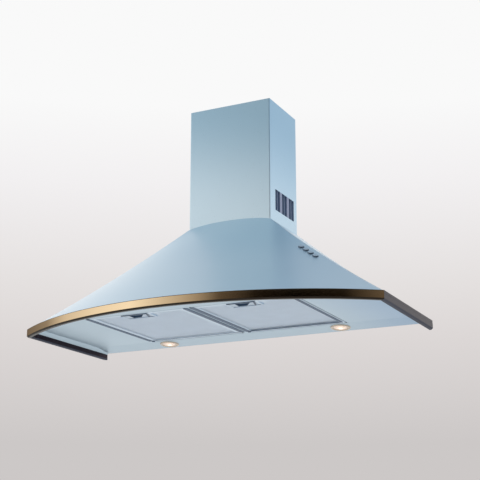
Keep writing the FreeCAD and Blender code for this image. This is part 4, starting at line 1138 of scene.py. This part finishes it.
@dataclass
class Chimney:
    """Square chimney of folded sheet with vent slots low in both sides."""

    half: float = 110.0
    front: float = 159.0
    low: float = 266.0
    high: float = 582.0
    corner: float = 2.5
    corner_steps: int = 5
    rear_corner: float = 1.5
    rear_steps: int = 3
    fold: float = 12.0
    wall: float = 1.2
    below_vent: float = 280.0
    above_vent: tuple[float, ...] = (420.0, 500.0)
    vent_low: float = 302.0
    vent_high: float = 355.0
    vent_rear: float = 19.0
    vent_slot: float = 28.0
    vent_bar: float = 13.0
    vent_count: int = 3
    bar_sunk: float = 0.4
    bar_inner: float = 0.8
    bar_round: float = 0.3
    slack: float = 0.01

    def slots(self) -> list[tuple[float, float]]:
        """The vent slots of one side, from the front to the wall.

        Returns:
            Front and rear end of each slot.
        """
        pitch = self.vent_slot + self.vent_bar
        rears = [-self.vent_rear - pitch * index for index in range(self.vent_count)]
        return [(rear - self.vent_slot, rear) for rear in reversed(rears)]

    def vent_ends(self) -> Spot:
        """Front and rear end of the whole row of slots."""
        slots = self.slots()
        return slots[0][0], slots[-1][1]

    def half_path(self) -> list[Spot]:
        """The right half of the sheet seen from above.

        Returns:
            Its points, from the middle of the front to the rear fold.
        """
        points = [(0.0, -self.front), (self.half * 0.5, -self.front)]
        for step in range(self.corner_steps + 1):
            angle = math.pi / 2 * step / self.corner_steps
            points.append((self.half - self.corner * (1 - math.sin(angle)),
                           -self.front + self.corner * (1 - math.cos(angle))))
        for front, rear in self.slots():
            points += [(self.half, front), (self.half, rear)]
        for step in range(self.rear_steps + 1):
            angle = math.pi / 2 * step / self.rear_steps
            points.append((self.half - self.rear_corner * (1 - math.cos(angle)),
                           -self.rear_corner * (1 - math.sin(angle))))
        points.append((self.half - self.fold, 0.0))
        return points

    def build(self) -> None:
        """Makes the folded sheet with its slots."""
        maker = Maker("chimney_tube")
        right = self.half_path()
        path = [(-x, y) for x, y in reversed(right[1:])] + right
        vent_front, vent_rear = self.vent_ends()
        levels = [self.low, self.below_vent, self.vent_low, self.vent_high, *self.above_vent, self.high]
        vent_row = levels.index(self.vent_low)

        def keep(row: int, column: int) -> bool:
            """Whether a quad is sheet, not part of the vent.

            Args:
                row: Its place among the levels.
                column: Its place along the path.

            Returns:
                Whether it is made.
            """
            (x, first), (_, second) = path[column], path[column + 1]
            low, high = min(first, second), max(first, second)
            inside = vent_front - self.slack < low and high < vent_rear + self.slack
            return not (row == vent_row and abs(x) > self.half - self.slack and inside)

        rows = [maker.row((x, y, up) for x, y in path) for up in levels]
        maker.rows(rows, keep=keep)
        maker.done([CHIMNEY_STEEL], instead_of=["chimney_cover"], wall=self.wall, angle=50.0)
        for hand in (-1, 1):
            self.vent_bars(hand)

    def vent_bars(self, hand: int) -> None:
        """Makes the plastic bars between the slots of one side, just below the sheet's face.

        Args:
            hand: -1 for the left side, 1 for the right side.
        """
        maker = Maker(f"{'left' if hand < 0 else 'right'}_vent_bars")
        outer, inner = (self.half - self.bar_sunk) * hand, (self.half - self.wall - self.bar_inner) * hand
        slots = self.slots()
        for (_, start), (end, _) in zip(slots, slots[1:]):
            plan = rounded(block(min(inner, outer), start, max(inner, outer), end), self.bar_round, 2)
            maker.prism(plan, self.vent_low, self.vent_high)
        maker.done([VENT_BAR])


# ---------------------------------------------------------------- filters


@dataclass
class GreaseFilter:
    """One drop-down filter: its frame, lattice, dark edge strips of painted shadow and sliding latch.

    The strips and the latch aren't mirrored: both latches sit left of their filter's middle.
    """

    hand: int
    near: float = 9.0
    far: float = 260.0
    front: float = -365.5
    rear: float = -65.5
    low: float = 22.0
    high: float = 31.0
    rim: float = 13.0
    wall: float = 2.0
    corner: float = 3.5
    corner_shrink: float = 0.2
    corner_least: float = 0.6
    skin: float = 0.02
    rim_profile: tuple[Spot, ...] = (
        (0.0, 9.0), (0.0, 0.9), (0.25, 0.25), (0.9, 0.0), (12.1, 0.0), (12.8, 0.25), (13.0, 0.9), (13.0, 2.0),
        (2.0, 2.0), (2.0, 9.0))
    # Places of the dark strips of painted shadow, left filter first; the right filter's rear strip is larger,
    # for a stronger painted shadow line.
    side_strips: tuple[tuple[Spot, Spot], tuple[Spot, Spot]] = (
        ((-266.8, -257.8), (-10.0, 0.5)), ((6.0, 16.5), (248.8, 255.8)))
    rear_strips: tuple[Spot, Spot] = ((1.6, 0.6), (4.5, 1.3))
    strip_start: float = 1.5
    strip_end: float = -76.5
    strip_drop: float = 1.1
    strip_seam: float = 0.1
    clip_ends: Spot = (0.5, 6.5)
    clip_depth: float = 5.5
    clip_drop: float = 2.0
    recess_half: float = 34.0
    recess_front: float = -361.5
    recess_rear: float = -321.0
    recess_lip: float = 1.0
    recess_depth: float = 7.0
    recess_roof: float = 0.2
    # The dark block at the recess's front is painted shadow.
    shadow_block_gap: float = 0.2
    shadow_block_depth: float = 4.6
    shadow_block_high: float = 6.9
    shade_rib_drop: float = 1.3
    latch_shift: float = -5.5
    latch_gap: float = 0.4
    latch_front_gap: float = 5.0
    latch_rear_gap: float = 5.6
    latch_low: float = 0.3
    latch_high: float = 6.4
    hollow_mouth: tuple[Spot, ...] = ((-18.0, 0.5), (23.0, 0.5), (1.5, -0.8), (-18.5, -0.8))
    hollow_floor: tuple[Spot, ...] = ((-17.5, 0.8), (22.2, 0.8), (1.0, -1.0), (-18.0, -1.0))
    hollow_depth: float = 5.2
    # Dark slanted strip along the latch plate's right side: painted shade of that side.
    shade_rib: tuple[Spot, ...] = ((-4.6, 0.1), (-0.4, 0.1), (-9.6, -1.0), (-13.6, -1.0))
    shade_rib_seat: float = 0.2
    tongue_half: float = 10.0
    tongue_reach: float = 2.7
    tongue_root: float = 6.0
    tongue_low: float = 24.7
    tongue_high: float = 27.7
    hinge_rear: float = -70.5
    hinge_up: float = 27.0
    pin_radius: float = 2.0
    pin_reach: float = 5.9
    pin_root: float = 1.0
    pin_bevel: float = 0.5
    pin_steps: int = 20
    pack_gap: float = 0.3
    pack_low: float = 1.2
    pack_high: float = 5.0
    pack_clear: float = 0.2
    diamond_across: float = 12.0
    diamond_deep: float = 6.0
    strand_width: float = 1.5
    strand_up: float = 1.0
    strand_tilt: float = 0.35
    strand_rise: float = 0.8
    strand_seat: float = 0.5

    @property
    def side(self) -> str:
        """Left or right, for names."""
        return "left" if self.hand < 0 else "right"

    @property
    def left(self) -> float:
        """Its left edge."""
        return self.near if self.hand > 0 else -self.far

    @property
    def right(self) -> float:
        """Its right edge."""
        return self.far if self.hand > 0 else -self.near

    @property
    def latch_middle(self) -> float:
        """Middle of the latch and its recess."""
        return (self.left + self.right) / 2 + self.latch_shift

    @property
    def recess_outer(self) -> float:
        """Half width of the recess over its walls."""
        return self.recess_half + 2 * self.wall

    def ring(self, inset: float) -> list[Spot]:
        """The filter's outline moved inwards, with rounded corners.

        Args:
            inset: How far it is moved.

        Returns:
            The outline.
        """
        plan = block(self.left + inset, self.front + inset, self.right - inset, self.rear - inset)
        return rounded(plan, max(self.corner - inset * self.corner_shrink, self.corner_least))

    def frame(self) -> None:
        """Makes the channel frame with the recess for the latch and the hinge pins."""
        maker = Maker(f"{self.side}_filter_rim")
        rows = []
        for inset, up in self.rim_profile:
            rows.append(maker.row((x, y, self.low + up) for x, y in self.ring(inset)))
        maker.rows(rows + [rows[0]], closed=True)
        self.recess(maker)
        self.pins(maker)
        maker.done([FILTER_ALUMINIUM], f"{self.side}_filter", [f"{self.side}_filter_frame"], angle=25.0)

    def recess(self, maker: Maker) -> None:
        """Adds the walls, the floor and the roof of the latch's recess.

        Args:
            maker: The frame's mesh.
        """
        middle = self.latch_middle
        outer = block(middle - self.recess_outer, self.recess_front - self.recess_lip,
                      middle + self.recess_outer, self.recess_rear + self.wall)
        inner = block(middle - self.recess_half, self.recess_front,
                      middle + self.recess_half, self.recess_rear)
        levels = [(outer, self.high - self.recess_roof), (outer, self.low - self.skin),
                  (inner, self.low - self.skin), (inner, self.low + self.recess_depth)]
        walls = [maker.row((x, y, up) for x, y in plan) for plan, up in levels]
        maker.rows(walls, closed=True)
        maker.face(walls[-1])
        maker.face(walls[0])

    def pins(self, maker: Maker) -> None:
        """Adds the two hinge pins.

        Args:
            maker: The frame's mesh.
        """
        reach = self.pin_reach + self.pin_root
        profile = [(0.0, reach), (self.pin_radius - self.pin_bevel, reach),
                   (self.pin_radius, reach - self.pin_bevel), (self.pin_radius, 0.0), (0.0, 0.0)]
        for edge, way in ((self.left, -1), (self.right, 1)):
            seat = Matrix.Translation(at(edge - self.pin_root * way, self.hinge_rear, self.hinge_up))
            turn = Matrix.Rotation(math.radians(90) * way, 4, "Y")
            maker.turned(profile, seat @ turn, self.pin_steps)

    def strips(self) -> None:
        """Makes the dark strips along both sides and the rear, painted shadow of the gap between filter and
        panel, and the hinge clip in the same dark finish.
        """
        maker = Maker(f"{self.side}_filter_gap_shadow_and_clip")
        index = 0 if self.hand < 0 else 1
        high = self.low - self.skin
        first, last = self.side_strips[index]
        for start, end in (first, last):
            maker.prism(block(start, self.front + self.strip_start, end, self.strip_end),
                        self.low - self.strip_drop, high)
        depth, drop = self.rear_strips[index]
        maker.prism(block(first[1] + self.strip_seam, self.strip_end - depth, last[0] - self.strip_seam,
                          self.strip_end), self.low - drop, high)
        near, far = self.clip_ends
        maker.prism(block(self.left + near, self.strip_end + self.strip_seam, self.left + far,
                          self.strip_end + self.clip_depth), self.low - self.clip_drop, high)
        maker.done([GAP_SHADOW_AND_CLIP], f"{self.side}_filter", round_off=0.2)

    def pack(self, maker: Maker) -> None:
        """Adds the mesh pack behind the expanded metal, left open round the recess.

        Args:
            maker: The lattice's mesh.
        """
        inset = self.wall + self.pack_gap
        left, right = self.left + inset, self.right - inset
        front, rear = self.front + inset, self.rear - inset
        start, end = self.latch_middle - self.recess_outer, self.latch_middle + self.recess_outer
        stop = self.recess_rear + self.wall
        for plan in (block(left, stop + self.pack_clear, right, rear),
                     block(left, front, start - self.pack_clear, stop),
                     block(end + self.pack_clear, front, right, stop)):
            maker.prism(plan, self.low + self.wall + self.pack_low, self.low + self.wall + self.pack_high)

    def strand(self, maker: Maker, start: Spot, end: Spot) -> None:
        """Adds one tilted strand between two knots.

        Args:
            maker: The lattice's mesh.
            start: First knot.
            end: Second knot.
        """
        run = Vector(end) - Vector(start)
        side = Vector((-run.y, run.x)).normalized() * self.strand_width / 2
        over_up = self.low + self.strand_up + self.strand_tilt
        under_up = self.low + self.strand_up - self.strand_tilt + self.strand_rise
        over = maker.row((x + side.x, y + side.y, over_up) for x, y in (start, end))
        under = maker.row((x - side.x, y - side.y, under_up) for x, y in (start, end))
        maker.rows([over, under])

    def lattice(self) -> None:
        """Makes the expanded metal over the filter's mesh pack."""
        maker = Maker(f"{self.side}_filter_lattice")
        self.pack(maker)
        edge = self.rim - self.strand_seat
        left, right = self.left + edge, self.right - edge
        front, rear = self.front + edge, self.rear - edge
        across = round((right - left) / self.diamond_across)
        deep = round((rear - front) / self.diamond_deep)
        step_x, step_y = (right - left) / across, (rear - front) / deep
        start = self.latch_middle - self.recess_outer - step_x / 2
        end = self.latch_middle + self.recess_outer + step_x / 2
        for column in range(across):
            for row in range(deep):
                x, y = left + column * step_x, front + row * step_y
                middle_x, middle_y = x + step_x / 2, y + step_y / 2
                if start < middle_x < end and y < self.recess_rear + self.wall:
                    continue
                knots = [(x, middle_y), (middle_x, y), (x + step_x, middle_y), (middle_x, y + step_y)]
                for index, knot in enumerate(knots):
                    self.strand(maker, knot, knots[(index + 1) % 4])
        maker.done([MESH_ALUMINIUM], f"{self.side}_filter", [f"{self.side}_filter_mesh"], angle=20.0)

    def recess_shadow_block(self) -> None:
        """Makes the dark block at the front of the latch's recess: painted shadow on the recess's shaded
        front.
        """
        maker = Maker(f"{self.side}_latch_recess_shadow")
        middle, half = self.latch_middle, self.recess_half - self.shadow_block_gap
        front = self.recess_front + self.shadow_block_gap
        maker.prism(block(middle - half, front, middle + half, front + self.shadow_block_depth),
                    self.low - self.shade_rib_drop, self.low + self.shadow_block_high)
        maker.done([LATCH_PLASTIC_AND_SHADE], f"{self.side}_filter", round_off=0.2)

    def latch_plan(self, origin: float, corners: Sequence[Spot]) -> list[Spot]:
        """Places four corners of the latch.

        Args:
            origin: Where their first value is measured from.
            corners: Two corners measured from the latch's front edge, then two from its rear edge.

        Returns:
            The corners in the hood's place.
        """
        front = self.recess_front + self.latch_front_gap
        rear = self.recess_rear - self.latch_rear_gap
        return [(origin + x, edge + y) for (x, y), edge in zip(corners, (front, front, rear, rear))]

    def latch(self) -> None:
        """Makes the sliding latch: a plate with a tapered finger hollow, a dark slanted rib and its tongue.
        The hollow's darker walls and floor and the rib along the plate's right side are painted shade.
        """
        maker = Maker(f"{self.side}_latch_plate")
        centre = self.latch_middle
        half = self.recess_half - self.latch_gap
        low, high = self.low + self.latch_low, self.low + self.latch_high
        outer = self.latch_plan(centre, [(-half, 0.0), (half, 0.0), (half, 0.0), (-half, 0.0)])
        mouth_plan = self.latch_plan(centre, self.hollow_mouth)
        floor_plan = self.latch_plan(centre, self.hollow_floor)
        top = maker.row((x, y, high) for x, y in outer)
        bottom = maker.row((x, y, low) for x, y in outer)
        mouth = maker.row((x, y, low) for x, y in mouth_plan)
        deep = maker.row((x, y, low + self.hollow_depth) for x, y in floor_plan)
        maker.rows([top, bottom, mouth], closed=True)
        # The hollow's walls and floor take darker finishes: painted shade.
        maker.rows([mouth, deep], closed=True, finish=1)
        maker.face(deep, finish=2)
        maker.face(top)
        maker.prism(self.latch_plan(centre + half, self.shade_rib), self.low - self.shade_rib_drop, low + self.shade_rib_seat,
                    finish=1)
        maker.prism(block(centre - self.tongue_half, self.front - self.tongue_reach,
                          centre + self.tongue_half, self.recess_front + self.tongue_root),
                    self.tongue_low, self.tongue_high, finish=1)
        maker.done([LATCH_PLATE, LATCH_PLASTIC_AND_SHADE, LATCH_HOLLOW_SHADE], f"{self.side}_latch",
                   [f"{self.side}_filter_latch"], round_off=0.2)

    def build(self) -> None:
        """Makes all pieces of the filter."""
        self.frame()
        self.strips()
        self.lattice()
        self.recess_shadow_block()
        self.latch()


# ---------------------------------------------------------------- lamps and buttons


@dataclass
class Lamp:
    """One round lamp in the strip near the wall."""

    hand: int
    across: float = 233.0
    deep: float = -33.0
    up: float = 19.582
    tilt: float = 4.686
    bezel: tuple[Spot, ...] = (
        (24.0, 0.0), (24.0, -0.8), (23.7, -1.5), (23.0, -2.1), (22.0, -2.45), (20.8, -2.5), (19.6, -2.3),
        (18.6, -1.8), (17.6, -1.2), (16.9, -0.9), (16.8, 0.3))
    bezel_steps: int = 72
    lens_radius: float = 16.7
    lens_face: float = -1.0
    lens_rings: int = 8
    lens_seat: tuple[Spot, ...] = ((17.9, -0.9), (17.9, 1.0), (0.0, 1.0))
    lens_steps: int = 64
    dome: float = 2.5
    glass: Colour = (0.50, 0.45, 0.40)
    frosting: float = 0.42
    glow_drop: float = 3.0
    glow_radius: float = 0.0172

    def place(self) -> Matrix:
        """Its seat on the slanted strip."""
        seat = Matrix.Translation(at(self.across * self.hand, self.deep, self.up))
        return seat @ Matrix.Rotation(math.radians(self.tilt), 4, Vector((-1, 0, 0)))

    def lens_profile(self) -> list[Spot]:
        """Radii and heights of the domed glass and its seat.

        Returns:
            The profile, from the middle of its face to the middle of its back.
        """
        profile = [(0.0, self.lens_face - self.dome)]
        for ring in range(1, self.lens_rings + 1):
            share = ring / self.lens_rings
            profile.append((self.lens_radius * share, self.lens_face - self.dome * (1 - share ** 2)))
        return [*profile, *self.lens_seat]

    def build(self) -> None:
        """Makes the ring and the frosted glass."""
        side = "left" if self.hand < 0 else "right"
        ring = Maker(f"{side}_lamp_bezel")
        ring.turned(self.bezel, self.place(), self.bezel_steps)
        ring.done([LAMP_CHROME], instead_of=[f"{side}_lamp_ring"], angle=60.0)
        lens = Maker(f"{side}_lamp_glass")
        lens.turned(self.lens_profile(), self.place(), self.lens_steps)
        middle = tuple(at(self.across * self.hand, self.deep, self.up - self.glow_drop))
        finish = GlassFinish(f"{side}_lamp_glass", "lamp_glass", self.glass, self.frosting, 1.0, middle,
                             self.glow_radius)
        lens.done([finish], instead_of=[f"{side}_lamp_lens"], angle=60.0)


@dataclass
class ButtonRow:
    """The four push buttons on the right-hand slope of the canopy."""

    first: Place = (224.331, -241.7, 169.195)
    pitch: Place = (14.684, -8.0303, -10.9497)
    out: Place = (0.2987, -0.53312, 0.79156)
    proud: float = 3.5
    count: int = 4
    steps: int = 40
    cap_top: tuple[Spot, ...] = ((0.0, 3.0), (2.5, 3.05), (4.4, 3.25), (5.2, 3.5), (5.6, 3.42))
    cap_side: tuple[Spot, ...] = (
        (5.95, 3.1), (6.15, 2.6), (6.2, 2.0), (6.2, -2.4), (3.0, -2.4), (3.0, -10.0), (0.0, -10.0))
    bezel: tuple[Spot, ...] = ((6.35, -1.0), (6.35, 0.35), (6.5, 0.5), (7.0, 0.5), (7.4, 0.3), (7.5, -0.6))

    def place(self, index: int) -> Matrix:
        """The seat of a button on the canopy.

        Args:
            index: Which button, from 0 at the upper end of the row.

        Returns:
            The seat, with its Z axis out of the canopy.
        """
        out = Vector(self.out).normalized()
        spot = Vector(self.first) + Vector(self.pitch) * index - out * self.proud
        slope = Vector(self.pitch).normalized()
        across = out.cross(slope)
        turn = Matrix((slope, across, out)).transposed().to_4x4()
        return Matrix.Translation(at(*spot)) @ turn

    def build(self) -> None:
        """Makes the buttons, whose sides are dark as painted shadow, and the thin dark rings round them, also
        painted shadow.
        """
        finishes = [1] * len(self.cap_top) + [0] * (len(self.cap_side) - 1)
        for index in range(self.count):
            cap = Maker(f"button_cap_{index + 1}")
            cap.turned(self.cap_top + self.cap_side, self.place(index), self.steps, finishes=finishes)
            cap.done([BUTTON_SIDE_SHADE, BUTTON_TOP], f"button_{index + 1}", [f"push_button_{index + 1}"],
                     angle=40.0)
        rings = Maker("button_bezels")
        for index in range(self.count):
            rings.turned(self.bezel, self.place(index), self.steps)
        rings.done([BUTTON_SIDE_SHADE], angle=40.0)


# ---------------------------------------------------------------- fasteners and carried-over nodes


@dataclass
class Fasteners:
    """Pan-head screws that hold the inner pieces."""

    radius: float = 3.2
    head: tuple[Spot, ...] = ((1.0, 0.0), (1.0, 0.7), (0.85, 1.5), (0.5, 1.95), (0.0, 2.05))
    head_steps: int = 24
    slot_reach: float = 0.55
    slot_half: float = 0.35
    slot_low: float = 1.2
    slot_high: float = 2.12
    lid_across: Spot = (206.0, 264.0)
    lid_up: Spot = (68.0, 110.0)
    lid_face: float = -40.5
    cheek_middle: Spot = (-120.0, 150.0)
    cheek_radius: float = 66.5
    cheek_face: float = 64.0
    cheek_count: int = 3
    cheek_scale: float = 0.9
    outlet_deep: float = -79.0
    outlet_radius: float = 63.0
    outlet_up: float = 258.7
    outlet_count: int = 4
    outlet_scale: float = 0.75

    def screw(self, maker: Maker, place: Matrix, scale: float = 1.0) -> None:
        """Adds one screw head with a dark cross that stands for its slot: painted shade.

        Args:
            maker: The piece it joins.
            place: Its seat, with Z out of the head.
            scale: Size against the standard head.
        """
        radius = self.radius * scale
        profile = [(radius * share, height * scale) for share, height in self.head]
        maker.turned(profile, place, self.head_steps)
        for turn in (0, 1):
            cross = Matrix.Rotation(math.pi / 2 * turn, 4, "Z")
            reach, half = radius * self.slot_reach, self.slot_half * scale
            corners = []
            for height in (self.slot_low * scale, self.slot_high * scale):
                for x, y in block(-reach, -half, reach, half):
                    corners.append(maker.mesh.verts.new(place @ cross @ (Vector((x, y, height)) / 1000)))
            maker.rows([corners[:4], corners[4:]], closed=True, finish=1)
            maker.face(corners[4:], finish=1)

    def build(self) -> None:
        """Makes the screws on the box lid, the blower's cheek and the air outlet."""
        maker = Maker("inner_screws")
        outwards = Matrix.Rotation(math.radians(90), 4, "X")
        for x in self.lid_across:
            for up in self.lid_up:
                self.screw(maker, Matrix.Translation(at(x, self.lid_face, up)) @ outwards)
        sideways = Matrix.Rotation(math.radians(90), 4, "Y")
        for index in range(self.cheek_count):
            angle = math.radians(90 + 360 / self.cheek_count * index)
            y = self.cheek_middle[0] + self.cheek_radius * math.cos(angle)
            up = self.cheek_middle[1] + self.cheek_radius * math.sin(angle)
            self.screw(maker, Matrix.Translation(at(self.cheek_face, y, up)) @ sideways, self.cheek_scale)
        for index in range(self.outlet_count):
            angle = math.radians(45 + 360 / self.outlet_count * index)
            x = self.outlet_radius * math.cos(angle)
            y = self.outlet_deep + self.outlet_radius * math.sin(angle)
            self.screw(maker, Matrix.Translation(at(x, y, self.outlet_up)), self.outlet_scale)
        maker.done([SCREW_ZINC, BUTTON_SIDE_SHADE], angle=35.0)


@dataclass
class CarriedPieces:
    """CAD nodes whose shape is right and that only get a finish."""

    finishes: dict[str, Finish | GlassFinish] = field(default_factory=lambda: {
        "underside_panel": PANEL_STEEL, "back_plate": ZINC_PLATE, "chimney_bracket": ZINC_PLATE,
        "duct_plate": ZINC_PLATE, "chimney_collar": ZINC_PLATE, "left_vent_grille": VENT_PLASTIC,
        "right_vent_grille": VENT_PLASTIC, "scroll_housing": SCROLL_STEEL, "scroll_cheek": SCROLL_STEEL,
        "blower_wheel": WHEEL_PLASTIC, "motor_shaft": SHAFT_STEEL, "blower_motor": MOTOR_IRON,
        "motor_bracket": ZINC_PLATE, "outlet_spigot": DUCT_PLASTIC, "damper_pins": SHAFT_STEEL,
        "rear_damper_flap": DUCT_PLASTIC, "front_damper_flap": DUCT_PLASTIC, "terminal_box": BOX_PLASTIC,
        "terminal_box_lid": BOX_PLASTIC, "lamp_transformer": BOX_PLASTIC,
        "motor_capacitor": CAPACITOR_PLASTIC, "cable_gland": DUCT_PLASTIC, "switch_block": BOX_PLASTIC,
        "left_hinge_bracket": ZINC_PLATE,
        "centre_hinge_bracket": ZINC_PLATE, "right_hinge_bracket": ZINC_PLATE, "left_lamp_cup": REFLECTOR,
        "right_lamp_cup": REFLECTOR, "left_lamp_bulb": BULB_GLASS, "right_lamp_bulb": BULB_GLASS,
    })

    def build(self) -> None:
        """Gives every carried-over node its finish."""
        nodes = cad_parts
        for name, finish in self.finishes.items():
            piece = nodes.get(name)
            if piece is None:
                LOG.warning("no node %s", name)
                continue
            if not piece.material_slots:
                piece.data.materials.append(None)
            for item in piece.material_slots:
                item.material = finish.material()
        LOG.info("%d carried-over nodes", len(self.finishes))


# ---------------------------------------------------------------- studio


@dataclass(frozen=True)
class Ring:
    """Brightness of the surroundings round the hood at one elevation."""

    elevation: float
    levels: tuple[tuple[float, ...], ...]
    power: Colour = (1.0, 1.0, 1.0)

    def stops(self) -> list[tuple[float, Colour]]:
        """The ring as stops of a colour ramp that runs from the wall over the left and the front.

        Each level is an azimuth, a brightness and, where the light isn't neutral, its warmth.

        Returns:
            Places, 0 to 1, with their colours.
        """
        result = []
        for place, level, *warm in self.levels:
            swing = warm[0] if warm else 0.0
            red, green, blue = (level ** power for power in self.power)
            result.append(((place + 180) / 360, (red * (1 + swing), green, blue * (1 - swing))))
        return result


@dataclass
class Studio:
    """Floor, lamp, surroundings and camera."""

    floor_up: float = -1650.0
    floor_reach: float = 6000.0
    floor_cells: int = 12
    key_place: Place = (-2.3, -2.6, 1.5)
    key_size: float = 2.2
    key_power: float = 55.0
    ambient: float = 0.82
    camera_place: Place = (1.2036, -2.5323, -0.6603)
    camera_turn: float = 26.327
    camera_pitch: float = 16.192
    lens: float = 86.043
    sensor: float = 36.0
    sight: float = 50.0
    backdrop: tuple[tuple[float, Colour], ...] = (
        (0.106, from_screen(204, 200, 199)), (0.194, from_screen(220, 215, 214)),
        (0.238, from_screen(228, 224, 223)), (0.325, from_screen(242, 240, 241)),
        (0.388, from_screen(249, 249, 249)))
    rings: tuple[Ring, ...] = (
        Ring(15.0, (
            (-180, 1.00), (-137, 1.10), (-112, 0.18), (-91, 0.32), (-78, 0.74), (-60, 0.95), (-43, 1.07),
            (-29, 0.72), (-15, 0.38), (-6, 0.10), (8, 0.008), (22, 0.001), (41, 0.009), (55, 0.11),
            (70, 0.50), (110, 0.80), (180, 1.00)), (1.0, 1.08, 1.17)),
        Ring(17.5, (
            (-180, 1.00), (-137, 1.22, 0.03), (-100, 0.90), (-60, 1.50), (-38, 1.90), (-29, 1.45),
            (-22, 0.95), (-10, 0.60), (30, 0.45), (60, 0.55, -0.06), (120, 0.90, -0.10), (155, 1.00, -0.10),
            (180, 1.00))),
        Ring(28.0, (
            (-180, 1.00), (-137, 1.25, 0.05), (-100, 0.80), (-60, 0.52), (-38, 0.46), (-29, 0.43, 0.02),
            (0, 0.42), (60, 0.52, -0.06), (120, 0.76, -0.10), (155, 0.84, -0.10), (180, 1.00))),
        Ring(40.0, (
            (-180, 0.85), (-137, 1.05, 0.04), (-90, 0.90), (-36, 1.10, 0.12), (0, 1.00, 0.12),
            (90, 0.70, -0.06), (155, 0.77, -0.10), (180, 0.85))),
        Ring(58.0, (
            (-180, 0.52, -0.10), (-160, 0.55, -0.10), (-137, 0.68), (-100, 0.80), (-36, 1.15, 0.15),
            (0, 1.05, 0.15), (155, 0.55), (180, 0.52, -0.10))),
        Ring(75.0, ((-180, 0.62, -0.05), (0, 0.75, 0.05), (180, 0.62, -0.05))))

    def build_floor(self) -> None:
        """Makes the pale floor below the hood."""
        maker = Maker("studio_floor")
        count, reach = self.floor_cells, self.floor_reach
        places = [reach * (2 * cell / count - 1) for cell in range(count + 1)]
        maker.rows([maker.row((x, y, self.floor_up) for x in places) for y in places])
        data = bpy.data.meshes.new("studio_floor")
        maker.mesh.to_mesh(data)
        maker.mesh.free()
        data.materials.append(FLOOR_CLAY.material())
        floor = bpy.data.objects.new("studio_floor", data)
        bpy.context.scene.collection.objects.link(floor)

    def build_key(self) -> None:
        """Hangs the soft lamp at the left, in front of the hood."""
        light = bpy.data.lights.new("key_lamp", "AREA")
        light.shape = "DISK"
        light.size = self.key_size
        light.energy = self.key_power
        lamp = bpy.data.objects.new("key_lamp", light)
        lamp.location = self.key_place
        lamp.rotation_euler = (-Vector(self.key_place)).to_track_quat("-Z", "Y").to_euler()
        lamp.visible_glossy = False
        bpy.context.scene.collection.objects.link(lamp)

    def build_world(self) -> None:
        """Sets the surroundings: plain for diffuse light, rings for gloss, a fade for the backdrop."""
        world = bpy.data.worlds.new("studio")
        bpy.context.scene.world = world
        world.use_nodes = True
        graph = Graph(world.node_tree)
        direction = graph.add("ShaderNodeTexCoord").outputs["Generated"]
        split = graph.add("ShaderNodeSeparateXYZ")
        graph.feed(split.inputs[0], direction)
        right, deep, up = split.outputs
        backdrop = graph.ramp(up, self.backdrop)
        angle = graph.math("ARCTAN2", right, graph.math("MULTIPLY", deep, -1.0))
        turn = graph.spread(angle, -math.pi, math.pi, 0.0, 1.0)
        gloss: object = None
        reached = 0.0
        for level in self.rings:
            ring = graph.ramp(turn, level.stops())
            if gloss is None:
                gloss = ring
            else:
                share = graph.spread(graph.math("ABSOLUTE", up), math.sin(math.radians(reached)),
                                     math.sin(math.radians(level.elevation)), 0.0, 1.0)
                gloss = graph.blend(share, gloss, ring)
            reached = level.elevation
        path = graph.add("ShaderNodeLightPath")
        seen = graph.math("MAXIMUM", path.outputs["Is Camera Ray"], path.outputs["Is Transmission Ray"])
        plain = graph.blend(path.outputs["Is Glossy Ray"], (self.ambient, self.ambient, self.ambient), gloss)
        colour = graph.blend(seen, plain, backdrop)
        shade = graph.add("ShaderNodeBackground")
        graph.feed(shade.inputs["Color"], colour)
        graph.feed(shade.inputs["Strength"], 1.0)
        out = graph.add("ShaderNodeOutputWorld")
        graph.feed(out.inputs["Surface"], shade.outputs[0])

    def build_camera(self) -> None:
        """Places the camera at the right, below the hood, looking up at it."""
        data = bpy.data.cameras.new("camera")
        data.lens = self.lens
        data.sensor_width = self.sensor
        data.clip_end = self.sight
        camera = bpy.data.objects.new("camera", data)
        turn, pitch = math.radians(self.camera_turn), math.radians(self.camera_pitch)
        level = math.cos(pitch)
        forward = Vector((-math.sin(turn) * level, math.cos(turn) * level, math.sin(pitch)))
        camera.location = self.camera_place
        camera.rotation_euler = forward.to_track_quat("-Z", "Y").to_euler()
        bpy.context.scene.collection.objects.link(camera)
        bpy.context.scene.camera = camera

    def build(self) -> None:
        """Makes the whole studio."""
        self.build_floor()
        self.build_key()
        self.build_world()
        self.build_camera()
        bpy.context.scene.view_settings.view_transform = "Standard"
        LOG.info("studio: floor, lamp, surroundings and camera")


def main() -> None:
    """Builds the hood's pieces, the studio and the camera."""
    logging.basicConfig(level=logging.INFO, format="%(name)s: %(message)s")
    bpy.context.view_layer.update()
    Studio().build()
    Canopy().build()
    FrontTrim().build()
    for hand in (-1, 1):
        SideRail(hand).build()
    Chimney().build()
    for hand in (-1, 1):
        GreaseFilter(hand).build()
        Lamp(hand).build()
    ButtonRow().build()
    Fasteners().build()
    CarriedPieces().build()


if __name__ == "__main__":
    main()
